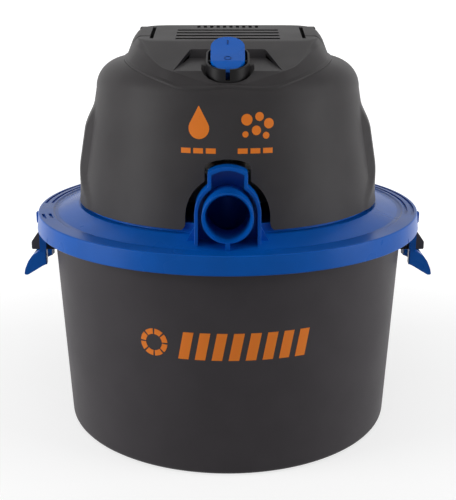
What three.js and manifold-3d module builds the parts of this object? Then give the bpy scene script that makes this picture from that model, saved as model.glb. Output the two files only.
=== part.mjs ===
// Wet and dry shop vacuum with a lift-off motor head.
// Millimetres, +Z up, inlet port towards -Y, origin at the centre of the drum's base.
import * as THREE from "three";
import { ConvexGeometry } from "three/addons/geometries/ConvexGeometry.js";
import { mergeVertices } from "three/addons/utils/BufferGeometryUtils.js";
import Module from "manifold-3d";

const wasm = await Module();
wasm.setup();

// ---------- Driving dimensions ----------
const SEAT_GAP = 0.3; // between pieces that rest on or in each other
const RUNNING_GAP = 0.8; // round pieces that turn or slide
const LARGE_FACETS = 40; // facets round the drum, lid and housing
const SMALL_FACETS = 20; // facets round motor and filter pieces
const PIN_FACETS = 10; // facets round pins, screws and bosses
const FAN_FACETS = 28; // round the fan, its case and the filter cage
const CURVE_STEPS = 5; // along each arc of an extruded outline
const OVERSHOOT = 2; // how far a cutting shape runs past what it cuts

// Drum
const DRUM_HEIGHT = 171;
const DRUM_INSET = 11.7; // of the drum's wall at its top, from the lid's outer edge
const DRUM_DRAFT = 0.0496; // growth of the radius for each millimetre of height
const DRUM_WALL = 2.5;
const DRUM_FLOOR = 3;
const DRUM_FOOT_FILLET = 5;
const DRUM_FLANGE_REACH = 4.3;
const DRUM_FLANGE_THICKNESS = 2.5;
const GASKET_THICKNESS = 2.6;

// Lugs on the drum that the latches catch
const LUG_PAST_LATCH = 7.8; // how far the lug's tip stands out past the strap's face
const LUG_WIDTH = 17;
const LUG_UNDERSIDE_DROP = 31.2; // from the drum's top down to the lug's flat underside
const LUG_TIP_HEIGHT = 6.5;
const LUG_RAMP_HEIGHT = 10.5; // climb of the ramp from the tip to the wall

// Lid
const RIM_RADIUS = 155;
const RIM_PLATE = 3.5;
const RIM_LAND = 13.5; // width of the rim's flat ring
const SKIRT_DEPTH = 14.2;
const SKIRT_FLARE = 1.5;
const SKIRT_WALL = 2.6;
const CONE_RISE = 5.3; // climb of the lid from the rim's land to the housing
const DECK_STEP = 3.5; // from the top of the cone to the deck the motor stands on
const DECK_THICKNESS = 2.8;
const NECK_HEIGHT = 3.5; // upstand on the deck that centres the housing
const NECK_WALL = 2.4;
const LOCATING_RING_DEPTH = 14;
const LOCATING_RING_WALL = 2.2;
const SUCTION_HOLE_RADIUS = 22;

// Inlet port
const PORT_OUTER_RADIUS = 18;
const PORT_WALL = 2.4;
const PORT_AXIS_RISE = 16.6; // above the top of the lid's cone
const PORT_MOUTH_INSET = 15; // of the mouth, from the lid's outer edge
const PORT_ELBOW_INSET = 21.9; // of the elbow's vertical leg, from the deck's upstand
const PORT_SPIGOT_LENGTH = 9; // vertical leg below the deck
const PORT_RIB_WIDTH = 3.2;
const DEFLECTOR_WALL = 2.2;
const DEFLECTOR_LENGTH = 34;

// Keyhole frame round the port, and the cut-out for it in the housing
const FRAME_HALF_WIDTH = 23.3;
const FRAME_NECK_HALF_WIDTH = 14;
const FRAME_RISE = 49.3; // from the top of the lid's cone to the frame's top
const FRAME_FLARE_START = 21.5; // climb from the cone to where the straight sides draw in
const FRAME_FLARE_END = 35.5; // climb to where they meet the neck
const FRAME_WALL = 2.5;
const FRAME_FOOT_INSET = 20; // of the frame's foot, from the lid's outer edge
const FRAME_LEAN = 13; // how far its top leans back from its foot
const CUTOUT_SIDE_GAP = 7.4; // round the frame's straight sides
const CUTOUT_NECK_GAP = 2.7; // round its neck
const GUSSET_WIDTH = 5;
const GUSSET_HEIGHT = 8;
const GUSSET_THICKNESS = 2;

// Latches
const LATCH_WIDTH = 36;
const LATCH_THICKNESS = 5.3;
const LATCH_STAND_OFF = 1.3; // how far the strap's outer face stands out from the rim
const LATCH_PIN_DROP = 5.2; // from the rim plate's underside to the pin's axis
const LATCH_PIN_RADIUS = 1.6;
const LATCH_BARREL_RADIUS = 3.4;
const LATCH_EAR_WIDTH = 5;
const LATCH_ARM_LENGTH = 39.6; // from the pin's axis to the strap's lower inner corner
const LATCH_TAB_REACH = 16.7; // from the pin's axis out to the tab's tip
const LATCH_TAB_DROP = 48.5; // from the pin's axis down to the tab's tip
const LATCH_TAB_WALL = 2.6;
const LATCH_WINDOW_TOP_DROP = 9; // from the pin's axis to the window's top edge

// Motor housing
const HOUSING_BASE_RADIUS = 120.5;
const HOUSING_SHADOW_GAP = 2.5; // between the lid's cone and the housing's lower edge
const HOUSING_HEIGHT = 113.5;
const HOUSING_DRAFT = 0.1776; // loss of radius for each millimetre of height
const HOUSING_SHOULDER = 24; // height of the rounded shoulder
const SHOULDER_FULLNESS = 0.8; // 1 for an elliptical shoulder, less for a fuller one
const HOUSING_SHOULDER_WIDTH = 32.6; // from the top of the straight wall in to the flat crown
const HOUSING_WALL = 2.5;
const POD_BULGE = 4.9; // how far the side pods stand out from the barrel
const POD_TOP_DROP = 38; // from the crown down to the pods' top
const POD_FRONT_ANGLE = 15; // degrees forward of the sides
const POD_REAR_ANGLE = 48; // degrees behind the sides
const BOSS_RADIUS = 5;
const BOSS_INSET = 16.5; // of the boss circle, from the housing's lower edge
const BOSS_WEB_WIDTH = 14;
const BOSS_WEB_THICKNESS = 2.4;
const BOSS_WEB_HEIGHT = 60;

// Top cover
const COVER_SIDE_INSET = 23.6; // from the top of the housing's straight wall
const COVER_FRONT_INSET = 3.1;
const COVER_REAR_INSET = 30.6;
const COVER_SQUARENESS = 2.6; // exponent of the base outline, 2 for an ellipse
const COVER_TOP_SIDE_INSET = 8; // of the top plane, from the cover's base
const COVER_TOP_FRONT_INSET = 55.5;
const COVER_TOP_REAR_INSET = 47;
const COVER_TOP_FRONT_RISE = 9; // above the housing's crown
const COVER_TOP_REAR_RISE = 22;
const COVER_WALL = 2.5;
const COVER_SEAT_WIDTH = 8; // band of the housing that the cover's edge stands over
const COVER_EDGE_HEIGHT = 1.6; // upright edge of the cover above the shoulder
const COVER_BROW_INSET = 6.5; // of the crease above the cover's steep front edge
const COVER_BROW_DROP = 4.1; // below the housing's crown
const COVER_BROW_HALF_WIDTH = 38;
const LOUVER_END_INSET = 31; // from the top plane's side
const LOUVER_WIDTH = 4;
const LOUVER_PITCH = 10.5;
const LOUVER_COUNT = 4;

// Carry handle
const HANDLE_ARM_INSET = 20.5; // of an arm's inner face, from the cover's side
const HANDLE_SLOT = 3; // gap between an arm and the cover's body
const HANDLE_PIVOT_REACH = 9.5; // in front of the drum's axis
const HANDLE_PIVOT_RISE = 10; // above the crown
const HANDLE_END_RADIUS = 6.2;
const HANDLE_PIN_RADIUS = 2;
const HANDLE_BAR_WIDTH = 14;
const HANDLE_BAR_HEIGHT = 11;
const HANDLE_BAR_INSET = 31; // of the bar's front face, from the cover's rear edge
const HANDLE_GRIP_GAP = 13; // finger gap in front of the bar

// Switch
const SWITCH_INSET = 20; // of the bezel's middle, from the brow
const RECESS_DEPTH = 2.2; // of the dished floor round the switch, at its rear edge
const BEZEL_WIDTH = 31.4;
const BEZEL_LENGTH = 46;
const BEZEL_WALL = 1.5;
const BEZEL_DEPTH = 17;
const BEZEL_SLOPE = 17; // degrees
const BEZEL_LIP_RISE = 3.8; // middle of the top edge above the housing's crown
const BEZEL_SLIT = 2.9;
const ROCKER_TILT = 12; // degrees either side of the bezel's slope
const ROCKER_WIDTH = 24.4;
const ROCKER_LENGTH = 37;
const ROCKER_DEPTH = 9; // from the top face to the pivot
const ROCKER_PIVOT_DROP = 3.3; // below the middle of the bezel's top edge
const ROCKER_PIN_RADIUS = 1.2;
const SWITCH_BODY_DEPTH = 16;
const SWITCH_BODY_LENGTH = 34;

// Exhaust and cord inlet
const GRILLE_HALF_WIDTH = 30;
const GRILLE_HEIGHT = 46;
const GRILLE_RISE = 16; // from the deck to the grille's lower edge
const GRILLE_SLOT = 3.4;
const GRILLE_SLOT_COUNT = 7;
const DUCT_WALL = 2;
const GLAND_ANGLE = 118; // degrees round from +X
const GLAND_RISE = 20; // above the deck
const GLAND_RADIUS = 6.5;
const GLAND_BORE = 3.7;
const GLAND_FLANGE = 3;
const GLAND_REACH_OUTSIDE = 3.5; // how much of the gland's barrel stands in the wall
const DUCT_OUTLET_HALF_WIDTH = 14;

// Motor and fan
const SHAFT_RADIUS = 4;
const MOTOR_GASKET_HEIGHT = 3.2;
const MOTOR_GASKET_WIDTH = 10;
const FAN_CASE_RADIUS = 60;
const FAN_CASE_WALL = 2.5;
const FAN_CASE_HEIGHT = 24;
const IMPELLER_CLEARANCE = 5.5; // between the impeller's rim and the fan case
const IMPELLER_HEIGHT = 14;
const IMPELLER_PLATE = 1.6;
const IMPELLER_BLADES = 9;
const BEARING_RADIUS = 11;
const BEARING_HEIGHT = 7;
const BEARING_SEAT_WALL = 3;
const FRAME_PLATE = 3;
const STACK_HEIGHT = 26;
const STACK_WIDTH = 84;
const STACK_DEPTH = 76;
const STACK_STAND = 16; // from the fan cover up to the stack
const ARMATURE_RADIUS = 22;
const COIL_THICKNESS = 9;
const COIL_HALF_WIDTH = 27;
const COIL_BAND = 8;
const WINDING_OVERHANG = 6;
const COMMUTATOR_RADIUS = 11.5;
const COMMUTATOR_HEIGHT = 11;
const BRUSH_WIDTH = 7;
const BRUSH_LENGTH = 14;
const BRUSH_TUBE_WALL = 1.6;
const MOTOR_POST_RADIUS = 4;
const COOLING_FAN_RADIUS = 26;
const COOLING_FAN_HEIGHT = 5.5;
const COOLING_FAN_BLADES = 8;

// Filter cage, float and foam sleeve
const CAGE_RADIUS = 36;
const CAGE_WALL = 2.5;
const CAGE_LENGTH = 86;
const CAGE_FLANGE_WIDTH = 13;
const CAGE_FLANGE_THICKNESS = 2.5;
const CAGE_SLOTS = 8;
const CAGE_SLOT_WIDTH = 14;
const CAGE_SLOT_MARGIN = 14; // solid band above and below the slots
const CAGE_CAP_THICKNESS = 3.2;
const FLOAT_RADIUS = 30;
const FLOAT_SKIRT = 22;
const FLOAT_DOME = 10;
const FLOAT_WALL = 1.6;
const FOAM_THICKNESS = 15;
const FOAM_LENGTH = 70;
const BAND_WIDTH = 5;
const BAND_THICKNESS = 2;

// Screws
const SCREW_RADIUS = 2;
const SCREW_HEAD_RADIUS = 3.6;
const SCREW_HEAD_HEIGHT = 2.4;

// ---------- Levels and sizes that follow ----------
const drumRimRadius = RIM_RADIUS - DRUM_INSET;
const drumRadiusAt = (z) => drumRimRadius - DRUM_DRAFT * (DRUM_HEIGHT - z);
const drumBaseRadius = drumRadiusAt(0);
const rimUnderside = DRUM_HEIGHT + GASKET_THICKNESS + 2 * SEAT_GAP;
const rimTop = rimUnderside + RIM_PLATE;
const skirtBottom = rimTop - SKIRT_DEPTH;
const skirtRadius = RIM_RADIUS + SKIRT_FLARE;
const coneTop = rimTop + CONE_RISE;
const deckTop = coneTop + DECK_STEP;
const deckBottom = deckTop - DECK_THICKNESS;
const portAxis = coneTop + PORT_AXIS_RISE;
const portMouthReach = RIM_RADIUS - PORT_MOUTH_INSET;
const frameTop = coneTop + FRAME_RISE;
const flareLow = coneTop + FRAME_FLARE_START;
const flareHigh = coneTop + FRAME_FLARE_END;
const frameFootReach = RIM_RADIUS - FRAME_FOOT_INSET;
const housingBottom = coneTop + HOUSING_SHADOW_GAP;
const crownTop = housingBottom + HOUSING_HEIGHT;
const barrelRadiusAt = (z) => HOUSING_BASE_RADIUS - HOUSING_DRAFT * (z - housingBottom);
const shoulderFoot = crownTop - HOUSING_SHOULDER;
const shoulderRadius = barrelRadiusAt(shoulderFoot);
const crownRadius = shoulderRadius - HOUSING_SHOULDER_WIDTH;
const bossCircle = HOUSING_BASE_RADIUS - BOSS_INSET;
const coverHalfWidth = shoulderRadius - COVER_SIDE_INSET;
const coverFrontReach = shoulderRadius - COVER_FRONT_INSET;
const coverRearReach = shoulderRadius - COVER_REAR_INSET;
const coverTopHalfWidth = coverHalfWidth - COVER_TOP_SIDE_INSET;
const coverTopFrontReach = coverFrontReach - COVER_TOP_FRONT_INSET;
const coverTopRearReach = coverRearReach - COVER_TOP_REAR_INSET;
const coverBrowReach = coverFrontReach - COVER_BROW_INSET;
const louverHalfLength = coverTopHalfWidth - LOUVER_END_INSET;
const switchReach = coverBrowReach - SWITCH_INSET;
const handleArmInner = coverHalfWidth - HANDLE_ARM_INSET;
const handleBarReach = coverRearReach - HANDLE_BAR_INSET;
const impellerRadius = FAN_CASE_RADIUS - FAN_CASE_WALL - IMPELLER_CLEARANCE;
const neckTop = deckTop + NECK_HEIGHT;
const neckRadius = barrelRadiusAt(neckTop) - HOUSING_WALL - SEAT_GAP;
const portElbowReach = neckRadius - PORT_ELBOW_INSET;
const locatingRadius = drumRimRadius - DRUM_WALL - 1 - SEAT_GAP;
const gasketOuter = drumRimRadius + DRUM_FLANGE_REACH - SEAT_GAP;
const gasketInner = locatingRadius + SEAT_GAP;
const latchOuter = RIM_RADIUS + LATCH_STAND_OFF;
const latchPivotX = latchOuter - LATCH_BARREL_RADIUS - SEAT_GAP / 3;
const latchPivotZ = rimUnderside - LATCH_PIN_DROP;
const lugUnderside = DRUM_HEIGHT - LUG_UNDERSIDE_DROP;
const lugTipX = latchOuter + LUG_PAST_LATCH;
const earHalfSpan = LATCH_WIDTH / 2 + RUNNING_GAP;
const coverTopFront = crownTop + COVER_TOP_FRONT_RISE;
const coverTopRear = crownTop + COVER_TOP_REAR_RISE;
const handlePivotZ = crownTop + HANDLE_PIVOT_RISE;
const ledgeTop = handlePivotZ - HANDLE_END_RADIUS - SEAT_GAP;
const bezelTop = crownTop + BEZEL_LIP_RISE;
const gasketLevel = deckTop + SEAT_GAP;
const fanCaseBottom = gasketLevel + MOTOR_GASKET_HEIGHT + SEAT_GAP;
const fanCaseTop = fanCaseBottom + FAN_CASE_HEIGHT;
const fanCoverBottom = fanCaseTop + SEAT_GAP;
const fanCoverTop = fanCoverBottom + FRAME_PLATE;
const stackBottom = fanCoverTop + STACK_STAND;
const stackTop = stackBottom + STACK_HEIGHT;
const lowerBearing = fanCoverTop + SEAT_GAP;
const windingTop = stackTop + SEAT_GAP + WINDING_OVERHANG;
const commutatorBottom = windingTop + SEAT_GAP;
const commutatorTop = commutatorBottom + COMMUTATOR_HEIGHT;
const brushLevel = commutatorBottom + COMMUTATOR_HEIGHT / 2;
const bracketBottom = commutatorTop + RUNNING_GAP;
const bracketTop = bracketBottom + FRAME_PLATE;
const upperBearing = bracketTop + SEAT_GAP;
const coolingFanBottom = upperBearing + BEARING_HEIGHT + RUNNING_GAP;
const shaftTop = coolingFanBottom + COOLING_FAN_HEIGHT;
const impellerBottom = fanCaseBottom + FAN_CASE_WALL + 4;
const cageTop = deckBottom - SEAT_GAP;
const cageBottom = cageTop - CAGE_LENGTH;
const cageInner = CAGE_RADIUS - CAGE_WALL;
const floatRest = cageBottom + CAGE_CAP_THICKNESS + 2 * SEAT_GAP;

// ---------- Shape helpers ----------
const degrees = THREE.MathUtils.degToRad;

function solid(geometry) {
  const plain = new THREE.BufferGeometry();
  const source = geometry.index ? geometry.toNonIndexed() : geometry;
  plain.setAttribute("position", source.getAttribute("position"));
  const merged = mergeVertices(plain, 1e-4);
  const made = new wasm.Manifold(
    new wasm.Mesh({
      numProp: 3,
      vertProperties: merged.attributes.position.array,
      triVerts: new Uint32Array(merged.index.array),
    }),
  );
  return made;
}

function geometryOf(body) {
  const mesh = body.getMesh();
  const geometry = new THREE.BufferGeometry();
  geometry.setAttribute("position", new THREE.BufferAttribute(mesh.vertProperties, 3));
  geometry.setIndex(new THREE.BufferAttribute(mesh.triVerts, 1));
  const flat = geometry.toNonIndexed();
  flat.computeVertexNormals();
  return flat;
}

const join = (first, ...others) => others.reduce((body, other) => body.add(other), first);
const cut = (first, ...others) => others.reduce((body, other) => body.subtract(other), first);

// A closed outline of [radius, height] points turned round the Z axis.
function revolve(outline, facets = LARGE_FACETS) {
  const area = outline.reduce((sum, [r, z], i) => {
    const [nextR, nextZ] = outline[(i + 1) % outline.length];
    return sum + r * nextZ - nextR * z;
  }, 0);
  const ordered = area > 0 ? outline : [...outline].reverse();
  const onAxis = ordered.some(([r]) => r === 0);
  let points = ordered;
  if (onAxis) {
    const start = ordered.findIndex(([r], i) => r === 0 && ordered.at(i - 1)[0] === 0);
    points = [...ordered.slice(start), ...ordered.slice(0, start)];
  } else {
    points = [...ordered, ordered[0]];
  }
  const lathe = new THREE.LatheGeometry(
    points.map(([r, z]) => new THREE.Vector2(r, z)),
    facets,
  );
  return lathe.rotateX(Math.PI / 2);
}

const turned = (outline, facets) => solid(revolve(outline, facets));

const rod = (radius, bottom, top, facets = SMALL_FACETS) =>
  turned([[0, bottom], [radius, bottom], [radius, top], [0, top]], facets);

const ring = (inner, outer, bottom, top, facets = SMALL_FACETS) =>
  turned([[inner, bottom], [outer, bottom], [outer, top], [inner, top]], facets);

function block(x0, x1, y0, y1, z0, z1) {
  const box = new THREE.BoxGeometry(x1 - x0, y1 - y0, z1 - z0);
  return solid(box.translate((x0 + x1) / 2, (y0 + y1) / 2, (z0 + z1) / 2));
}

// A rod along X or Y, centred at (x, y, z).
function crossRod(axis, radius, length, x, y, z, facets = PIN_FACETS) {
  const cylinder = new THREE.CylinderGeometry(radius, radius, length, facets);
  if (axis === "X") cylinder.rotateZ(Math.PI / 2);
  return solid(cylinder.translate(x, y, z));
}

const extruded = (shape, depth) =>
  new THREE.ExtrudeGeometry(shape, { depth, bevelEnabled: false, curveSegments: CURVE_STEPS });

// An outline in the XZ plane, extruded along Y from y0 to y1.
function prismAlongY(shape, y0, y1) {
  const body = extruded(shape, y1 - y0);
  return solid(body.rotateX(Math.PI / 2).translate(0, y1, 0));
}

// An outline in the YZ plane, extruded along X over a width centred on x = 0.
function prismAlongX(shape, width, x = 0) {
  const body = extruded(shape, width);
  body.translate(0, 0, -width / 2);
  body.rotateX(Math.PI / 2);
  body.rotateZ(Math.PI / 2);
  return solid(body.translate(x, 0, 0));
}

// An outline in the XY plane, extruded along Z.
function prismAlongZ(shape, z0, z1) {
  const body = extruded(shape, z1 - z0);
  return solid(body.translate(0, 0, z0));
}

function polygon(points) {
  return new THREE.Shape(points.map(([a, b]) => new THREE.Vector2(a, b)));
}

function stadium(width, length, centreY) {
  const half = width / 2;
  const straight = length / 2 - half;
  const shape = new THREE.Shape();
  shape.moveTo(half, centreY - straight);
  shape.lineTo(half, centreY + straight);
  shape.absarc(0, centreY + straight, half, 0, Math.PI);
  shape.lineTo(-half, centreY - straight);
  shape.absarc(0, centreY - straight, half, Math.PI, 2 * Math.PI);
  return shape;
}

const aboutZ = (body, angle) => solid(geometryOf(body).rotateZ(degrees(angle)));
const hull = (points) => solid(new ConvexGeometry(points.map(([x, y, z]) => new THREE.Vector3(x, y, z))));

function mesh(name, body, colour, roughness, metalness) {
  const material = new THREE.MeshStandardMaterial({ color: colour, roughness, metalness });
  const made = new THREE.Mesh(geometryOf(body), material);
  made.name = name;
  return made;
}

const finishes = {
  charcoal: [0x2b292c, 0.55, 0],
  graphite: [0x454346, 0.55, 0],
  blue: [0x0b57a4, 0.4, 0],
  darkPlastic: [0x1c1c1e, 0.6, 0],
  whitePlastic: [0xe4e2da, 0.5, 0],
  greyPlastic: [0x8a8d90, 0.5, 0],
  rubber: [0x18181a, 0.9, 0],
  foam: [0x303234, 1, 0],
  steel: [0x9a9ca0, 0.35, 1],
  copper: [0xb4693a, 0.35, 1],
  carbon: [0x202022, 0.7, 0],
  aluminium: [0xb8babd, 0.4, 1],
};
const piece = (name, body, finish) => mesh(name, body, ...finishes[finish]);

// ---------- Drum ----------
function lug() {
  const wall = drumRadiusAt(lugUnderside) - DRUM_WALL / 2;
  const tipTop = lugUnderside + LUG_TIP_HEIGHT;
  return prismAlongY(
    polygon([
      [wall, lugUnderside],
      [lugTipX - 1.5, lugUnderside],
      [lugTipX, lugUnderside + 1.5],
      [lugTipX, tipTop],
      [lugTipX - 5.5, tipTop + 0.75 * LUG_RAMP_HEIGHT],
      [lugTipX - 11, tipTop + LUG_RAMP_HEIGHT],
      [wall, tipTop + LUG_RAMP_HEIGHT],
    ]),
    -LUG_WIDTH / 2,
    LUG_WIDTH / 2,
  );
}


function drum() {
  const flange = drumRimRadius + DRUM_FLANGE_REACH;
  const flangeBottom = DRUM_HEIGHT - DRUM_FLANGE_THICKNESS;
  const shell = turned([
    [0, 0],
    [drumBaseRadius - DRUM_FOOT_FILLET, 0],
    [drumBaseRadius - 0.3 * DRUM_FOOT_FILLET, 0.3 * DRUM_FOOT_FILLET],
    [drumRadiusAt(DRUM_FOOT_FILLET), DRUM_FOOT_FILLET],
    [drumRadiusAt(flangeBottom), flangeBottom],
    [flange, flangeBottom],
    [flange, DRUM_HEIGHT],
    [drumRimRadius - DRUM_WALL, DRUM_HEIGHT],
    [drumRadiusAt(DRUM_FOOT_FILLET) - DRUM_WALL, DRUM_FOOT_FILLET + DRUM_FLOOR],
    [drumBaseRadius - DRUM_WALL - DRUM_FOOT_FILLET, DRUM_FLOOR],
    [0, DRUM_FLOOR],
  ]);
  return join(shell, lug(), aboutZ(lug(), 180));
}

const drumGasket = () =>
  ring(gasketInner, gasketOuter, DRUM_HEIGHT + SEAT_GAP, rimUnderside - SEAT_GAP, LARGE_FACETS);

// ---------- Lid ----------
function lidShell() {
  const landRadius = RIM_RADIUS - RIM_LAND;
  const coneFoot = neckRadius + 5;
  const skirtInner = skirtRadius - SKIRT_WALL;
  return turned([
    [SUCTION_HOLE_RADIUS, deckBottom],
    [neckRadius - NECK_WALL, deckBottom],
    [coneFoot, coneTop - RIM_PLATE],
    [landRadius - 2, rimUnderside + 0.6],
    [landRadius, rimUnderside],
    [skirtInner - 0.5, rimUnderside],
    [skirtInner, skirtBottom],
    [skirtRadius, skirtBottom],
    [RIM_RADIUS + 0.3, rimTop - 1.2],
    [RIM_RADIUS - 0.9, rimTop],
    [landRadius, rimTop],
    [landRadius - 1.2, rimTop + 0.9],
    [coneFoot, coneTop],
    [neckRadius, coneTop + 0.4],
    [neckRadius, neckTop],
    [neckRadius - NECK_WALL, neckTop],
    [neckRadius - NECK_WALL, deckTop],
    [SUCTION_HOLE_RADIUS, deckTop],
  ]);
}

const locatingRing = () =>
  ring(
    locatingRadius - LOCATING_RING_WALL,
    locatingRadius,
    rimUnderside - LOCATING_RING_DEPTH,
    rimUnderside + RIM_PLATE / 2,
    LARGE_FACETS,
  );

// Keyhole outline in the XZ plane: straight sides, a flare drawing in, and a neck with an arched top.
function keyhole(halfWidth, neckHalfWidth, bottom, flareLow, flareHigh, top) {
  const shape = new THREE.Shape();
  shape.moveTo(-halfWidth, bottom);
  shape.lineTo(halfWidth, bottom);
  shape.lineTo(halfWidth, flareLow);
  shape.quadraticCurveTo(halfWidth - 0.6, (flareLow + flareHigh) / 2 + 1, neckHalfWidth, flareHigh);
  shape.lineTo(neckHalfWidth, top - 3.5);
  shape.quadraticCurveTo(neckHalfWidth - 0.4, top - 1.6, neckHalfWidth - 2.5, top - 1.2);
  shape.quadraticCurveTo(0, top + 1.2, 2.5 - neckHalfWidth, top - 1.2);
  shape.quadraticCurveTo(0.4 - neckHalfWidth, top - 1.6, -neckHalfWidth, top - 3.5);
  shape.lineTo(-neckHalfWidth, flareHigh);
  shape.quadraticCurveTo(0.6 - halfWidth, (flareLow + flareHigh) / 2 + 1, -halfWidth, flareLow);
  return shape;
}

// The frame round the port. Its front face leans back from foot to top.
function portFrame() {
  const back = -(neckRadius - NECK_WALL);
  const front = -(frameFootReach + OVERSHOOT);
  const outer = keyhole(
    FRAME_HALF_WIDTH, FRAME_NECK_HALF_WIDTH, deckBottom + 0.5, flareLow, flareHigh, frameTop);
  const inner = keyhole(
    FRAME_HALF_WIDTH - FRAME_WALL, FRAME_NECK_HALF_WIDTH - FRAME_WALL, coneTop - 9,
    flareLow - 1, flareHigh - 1, frameTop - FRAME_WALL);
  const leanAt = (z) => -frameFootReach + (FRAME_LEAN * (z - coneTop)) / FRAME_RISE;
  const lean = prismAlongX(
    polygon([
      [front - 20, deckBottom - 20],
      [leanAt(deckBottom - 20), deckBottom - 20],
      [leanAt(frameTop + 20), frameTop + 20],
      [front - 20, frameTop + 20],
    ]),
    4 * FRAME_HALF_WIDTH,
  );
  return cut(prismAlongY(outer, front, back), prismAlongY(inner, front - 1, -(neckRadius + 0.2)), lean);
}

function underCone() {
  const foot = RIM_RADIUS - RIM_LAND;
  return turned([
    [0, rimTop - 30],
    [foot + 30, rimTop - 30],
    [foot + 30, rimTop - RIM_PLATE / 2],
    [foot, rimTop - RIM_PLATE / 2],
    [neckRadius + 5, coneTop - RIM_PLATE / 2],
    [neckRadius - NECK_WALL, deckTop - DECK_THICKNESS / 2],
    [0, deckTop - DECK_THICKNESS / 2],
  ]);
}

function portTube(radius, front, back, foot) {
  const elbow = new THREE.SphereGeometry(radius, SMALL_FACETS, SMALL_FACETS / 2);
  elbow.rotateX(Math.PI / 2).translate(0, back, portAxis);
  const barrel = crossRod("Y", radius, back - front, 0, (front + back) / 2, portAxis, SMALL_FACETS);
  const leg = new THREE.CylinderGeometry(radius, radius, portAxis - foot, SMALL_FACETS);
  leg.rotateX(Math.PI / 2).translate(0, back, (portAxis + foot) / 2);
  return join(barrel, solid(leg), solid(elbow));
}

const spigotBottom = deckBottom - PORT_SPIGOT_LENGTH;

function portRib() {
  const mouthBottom = portAxis - PORT_OUTER_RADIUS;
  return prismAlongX(
    polygon([
      [-portMouthReach + 1, mouthBottom + PORT_WALL / 2],
      [-(neckRadius + 5), mouthBottom + PORT_WALL / 2],
      [-(neckRadius + 5), rimTop - RIM_PLATE / 2],
      [-(RIM_RADIUS - 2), rimTop - RIM_PLATE / 2],
      [-(RIM_RADIUS - 2), rimTop + 0.4],
    ]),
    PORT_RIB_WIDTH,
  );
}

function gusset(side) {
  const inner = side * (FRAME_HALF_WIDTH - FRAME_WALL / 2);
  const outer = side * (FRAME_HALF_WIDTH + GUSSET_WIDTH);
  const y = -(neckRadius + 3.5);
  return prismAlongY(
    polygon([
      [inner, coneTop - 2],
      [outer, coneTop - 2],
      [inner, coneTop + GUSSET_HEIGHT],
    ]),
    y - GUSSET_THICKNESS / 2,
    y + GUSSET_THICKNESS / 2,
  );
}

// Ears inside the skirt that carry one latch pin at each side of its notch.
function latchEars(side) {
  const inner = side * (latchPivotX - LATCH_BARREL_RADIUS - 0.8);
  const outer = side * (RIM_RADIUS - 1);
  const [x0, x1] = [Math.min(inner, outer), Math.max(inner, outer)];
  const bottom = latchPivotZ - LATCH_BARREL_RADIUS - 1;
  return [-1, 1].map((end) => {
    const a = end * earHalfSpan;
    const b = end * (earHalfSpan + LATCH_EAR_WIDTH);
    return block(x0, x1, Math.min(a, b), Math.max(a, b), bottom, rimTop - RIM_PLATE / 2);
  });
}

function latchNotch(side) {
  const x = side * (latchPivotX + 3);
  const pin = crossRod(
    "Y", LATCH_PIN_RADIUS + SEAT_GAP, 2 * (earHalfSpan + LATCH_EAR_WIDTH - 1),
    side * latchPivotX, 0, latchPivotZ);
  return join(
    block(x - 12, x + 12, -earHalfSpan, earHalfSpan, skirtBottom - OVERSHOOT, rimUnderside + 0.01),
    pin,
  );
}

const bossAngles = [40, 140, 220, 320];
const bossPlace = (angle) => [
  bossCircle * Math.cos(degrees(angle)),
  bossCircle * Math.sin(degrees(angle)),
];

function standing(radius, x, y, bottom, top, facets = PIN_FACETS) {
  const rodShape = new THREE.CylinderGeometry(radius, radius, top - bottom, facets);
  return solid(rodShape.rotateX(Math.PI / 2).translate(x, y, (bottom + top) / 2));
}

const motorFootAngles = [30, 150, 270];
const motorFootPlace = (angle) => [
  (FAN_CASE_RADIUS + SCREW_HEAD_RADIUS) * Math.cos(degrees(angle)),
  (FAN_CASE_RADIUS + SCREW_HEAD_RADIUS) * Math.sin(degrees(angle)),
];
const cageScrewAngles = [45, 165, 285];
const cageScrewPlace = (angle) => [
  (CAGE_RADIUS + CAGE_FLANGE_WIDTH / 2) * Math.cos(degrees(angle)),
  (CAGE_RADIUS + CAGE_FLANGE_WIDTH / 2) * Math.sin(degrees(angle)),
];

function lid() {
  const mouth = -portMouthReach;
  const elbow = -portElbowReach;
  const bore = PORT_OUTER_RADIUS - PORT_WALL;
  const frame = cut(portFrame(), underCone());
  const body = join(
    lidShell(),
    locatingRing(),
    frame,
    cut(portRib(), block(-5, 5, -RIM_RADIUS - 10, -RIM_RADIUS + 1.5, 0, 300)),
    gusset(-1),
    gusset(1),
    ...latchEars(-1),
    ...latchEars(1),
    portTube(PORT_OUTER_RADIUS, mouth, elbow, spigotBottom),
  );
  const places = [
    ...bossAngles.map(bossPlace),
    ...motorFootAngles.map(motorFootPlace),
    ...cageScrewAngles.map(cageScrewPlace),
  ];
  const screwHoles = places.map(([x, y]) =>
    standing(SCREW_RADIUS + SEAT_GAP, x, y, deckBottom - OVERSHOOT, deckTop + OVERSHOOT));
  return cut(
    body,
    portTube(bore, mouth - OVERSHOOT, elbow, spigotBottom - OVERSHOOT),
    latchNotch(-1),
    latchNotch(1),
    ...screwHoles,
  );
}

function inletDeflector() {
  const inner = PORT_OUTER_RADIUS + SEAT_GAP;
  const outer = inner + DEFLECTOR_WALL;
  const top = Math.min(deckBottom, portAxis - PORT_OUTER_RADIUS) - SEAT_GAP;
  const bottom = top - DEFLECTOR_LENGTH;
  const tube = turned(
    [
      [0, bottom],
      [outer, bottom],
      [outer, top],
      [inner, top],
      [inner, bottom + DEFLECTOR_WALL],
      [0, bottom + DEFLECTOR_WALL],
    ],
    SMALL_FACETS,
  );
  const half = inner * 0.8;
  const window = block(
    0, outer + OVERSHOOT, -half, half, bottom + DEFLECTOR_WALL, spigotBottom - 1);
  return cut(tube, window);
}

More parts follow.
